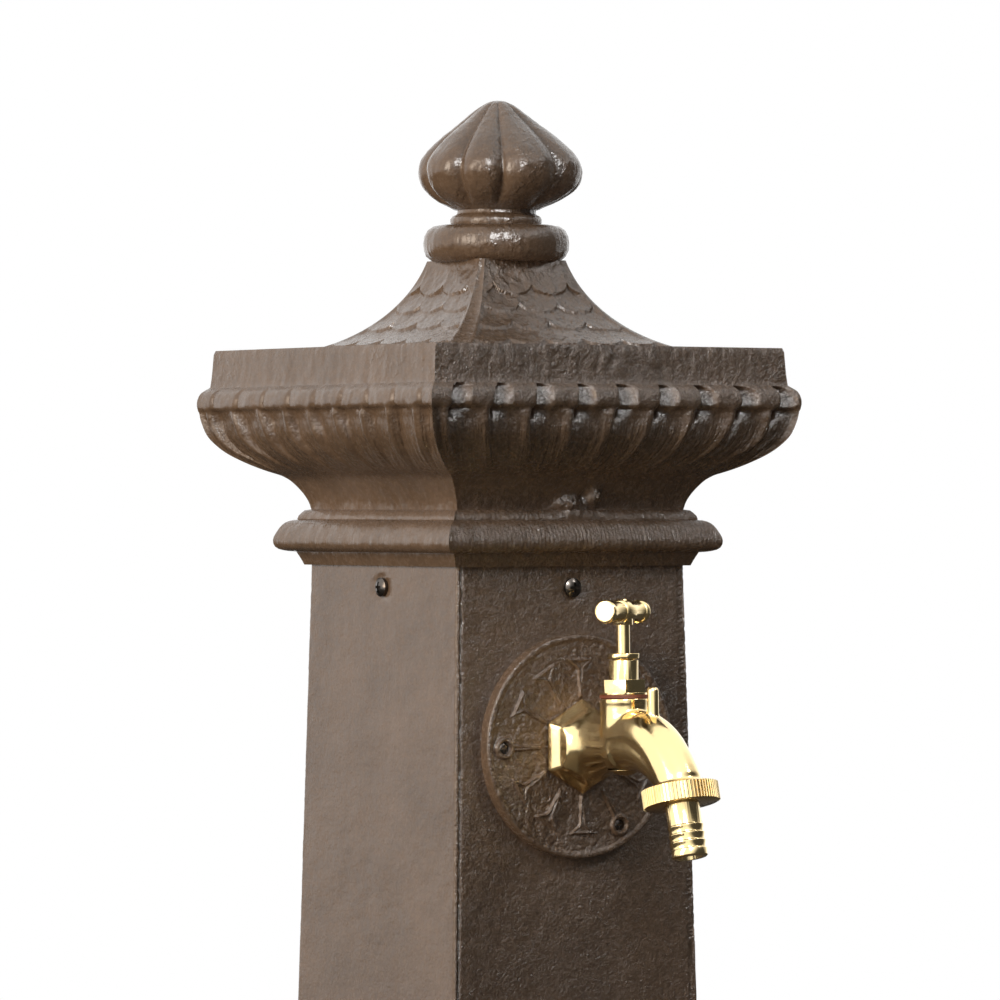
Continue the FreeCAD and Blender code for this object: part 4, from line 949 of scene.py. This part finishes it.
def ridgeRing(count, ringRadius, ridgeRadius, length, middle, material):
    # a Geometry Nodes group that stands round bars in a ring
    group = bpy.data.node_groups.new("ridgeRing", "GeometryNodeTree")
    wanted = (
        ("Geometry", "NodeSocketGeometry", None), ("Count", "NodeSocketInt", count),
        ("Ring Radius", "NodeSocketFloat", ringRadius), ("Ridge Radius", "NodeSocketFloat", ridgeRadius),
        ("Length", "NodeSocketFloat", length), ("Middle", "NodeSocketFloat", middle),
    )
    for name, kind, value in wanted:
        socket = group.interface.new_socket(name, in_out="INPUT", socket_type=kind)
        if value is not None:
            socket.default_value = value
    group.interface.new_socket("Geometry", in_out="OUTPUT", socket_type="NodeSocketGeometry")
    given = addNode(group, "NodeGroupInput").outputs
    ring = addField(group, "GeometryNodeMeshCircle", {"Vertices": given["Count"], "Radius": given["Ring Radius"]})
    lift = addField(group, "ShaderNodeCombineXYZ", {"Z": given["Middle"]})
    ring = addField(group, "GeometryNodeTransform", {"Geometry": ring, "Translation": lift})
    bar = {"Vertices": 10, "Radius": given["Ridge Radius"], "Depth": given["Length"]}
    bar = addField(group, "GeometryNodeMeshCylinder", bar)
    bars = addField(group, "GeometryNodeInstanceOnPoints", {"Points": ring, "Instance": bar})
    both = addNode(group, "GeometryNodeJoinGeometry")
    group.links.new(addField(group, "GeometryNodeRealizeInstances", {"Geometry": bars}), both.inputs[0])
    group.links.new(given["Geometry"], both.inputs[0])
    painted = addField(group, "GeometryNodeSetMaterial", {"Geometry": both.outputs[0], "Material": material})
    addNode(group, "NodeGroupOutput", {"Geometry": painted})
    return group


def makeKnurledNut():
    n = knurledNut
    low, high, radius = n["low"], n["high"], n["radius"]
    inner, up = radius - n["chamfer"], n["chamferHeight"]
    outline = [
        (n["bore"], low), (inner, low), (radius, low + up), (radius, high - up), (inner, high),
        (n["tailBore"], high), (n["tailBore"], high - n["lip"]), (n["bore"], high - n["lip"]),
    ]
    angles = [2 * math.pi * i / n["around"] for i in range(n["around"])]
    mesh = bmesh.new()
    rows = []
    for r, z in outline:
        rows.append([mesh.verts.new((r * math.cos(a) / 1000, r * math.sin(a) / 1000, z / 1000)) for a in angles])
    gridFaces(mesh, rows, closedAlong=True)
    piece = newPiece(mesh, "knurledNut", "union_nut", 40)
    modifier = piece.modifiers.new("ridges", "NODES")
    length, middle = high - low - n["ridgeShorter"], (high + low) / 2
    sizes = [size / 1000 for size in (radius, n["ridgeRadius"], length, middle)]
    modifier.node_group = ridgeRing(n["ridges"], *sizes, finishes["polished_brass"])
    evaluated(piece).transform(alongOutlet())
    return settle(piece, "union_nut", "coupling_nut")


# Small parts: the CAD forms with their edges broken, as files and tumbling leave them
softening = {"flatAngle": 0.6, "edgeAngle": 32, "segments": 2}      # degrees


def brokenEdges(node, body, width):
    mesh = bmesh.new()
    mesh.from_mesh(nodes[node].data)
    bmesh.ops.remove_doubles(mesh, verts=mesh.verts, dist=2e-6)
    flat = math.radians(softening["flatAngle"])
    bmesh.ops.dissolve_limit(mesh, angle_limit=flat, verts=mesh.verts, edges=mesh.edges, delimit={"NORMAL"})
    piece = newObject(mesh, node + "Softened")
    piece.data.materials.append(finishes[slotOf[node]])
    piece.data.shade_smooth()
    bevel = piece.modifiers.new("broken edges", "BEVEL")
    bevel.width = width / 1000
    bevel.segments = softening["segments"]
    bevel.limit_method = "ANGLE"
    bevel.angle_limit = math.radians(softening["edgeAngle"])
    bevel.harden_normals = True
    evaluated(piece)
    return settle(piece, node, body)


# (body that it rides on, width of the broken edge in millimetres)
edges = {
    "bonnet": ("root", 0.25), "gland_nut": ("root", 0.25), "t_handle": ("handle", 0.3),
    "plinth": ("root", 0.8), "hose_tail": ("hose_end", 0.15), "drain_grate": ("root", 0.3),
}
for node, (body, width) in edges.items():
    brokenEdges(node, body, width)
print("edges broken on", len(edges), "parts")

knurled = makeKnurledNut()
print("union nut made:", len(knurled.data.polygons), "faces")
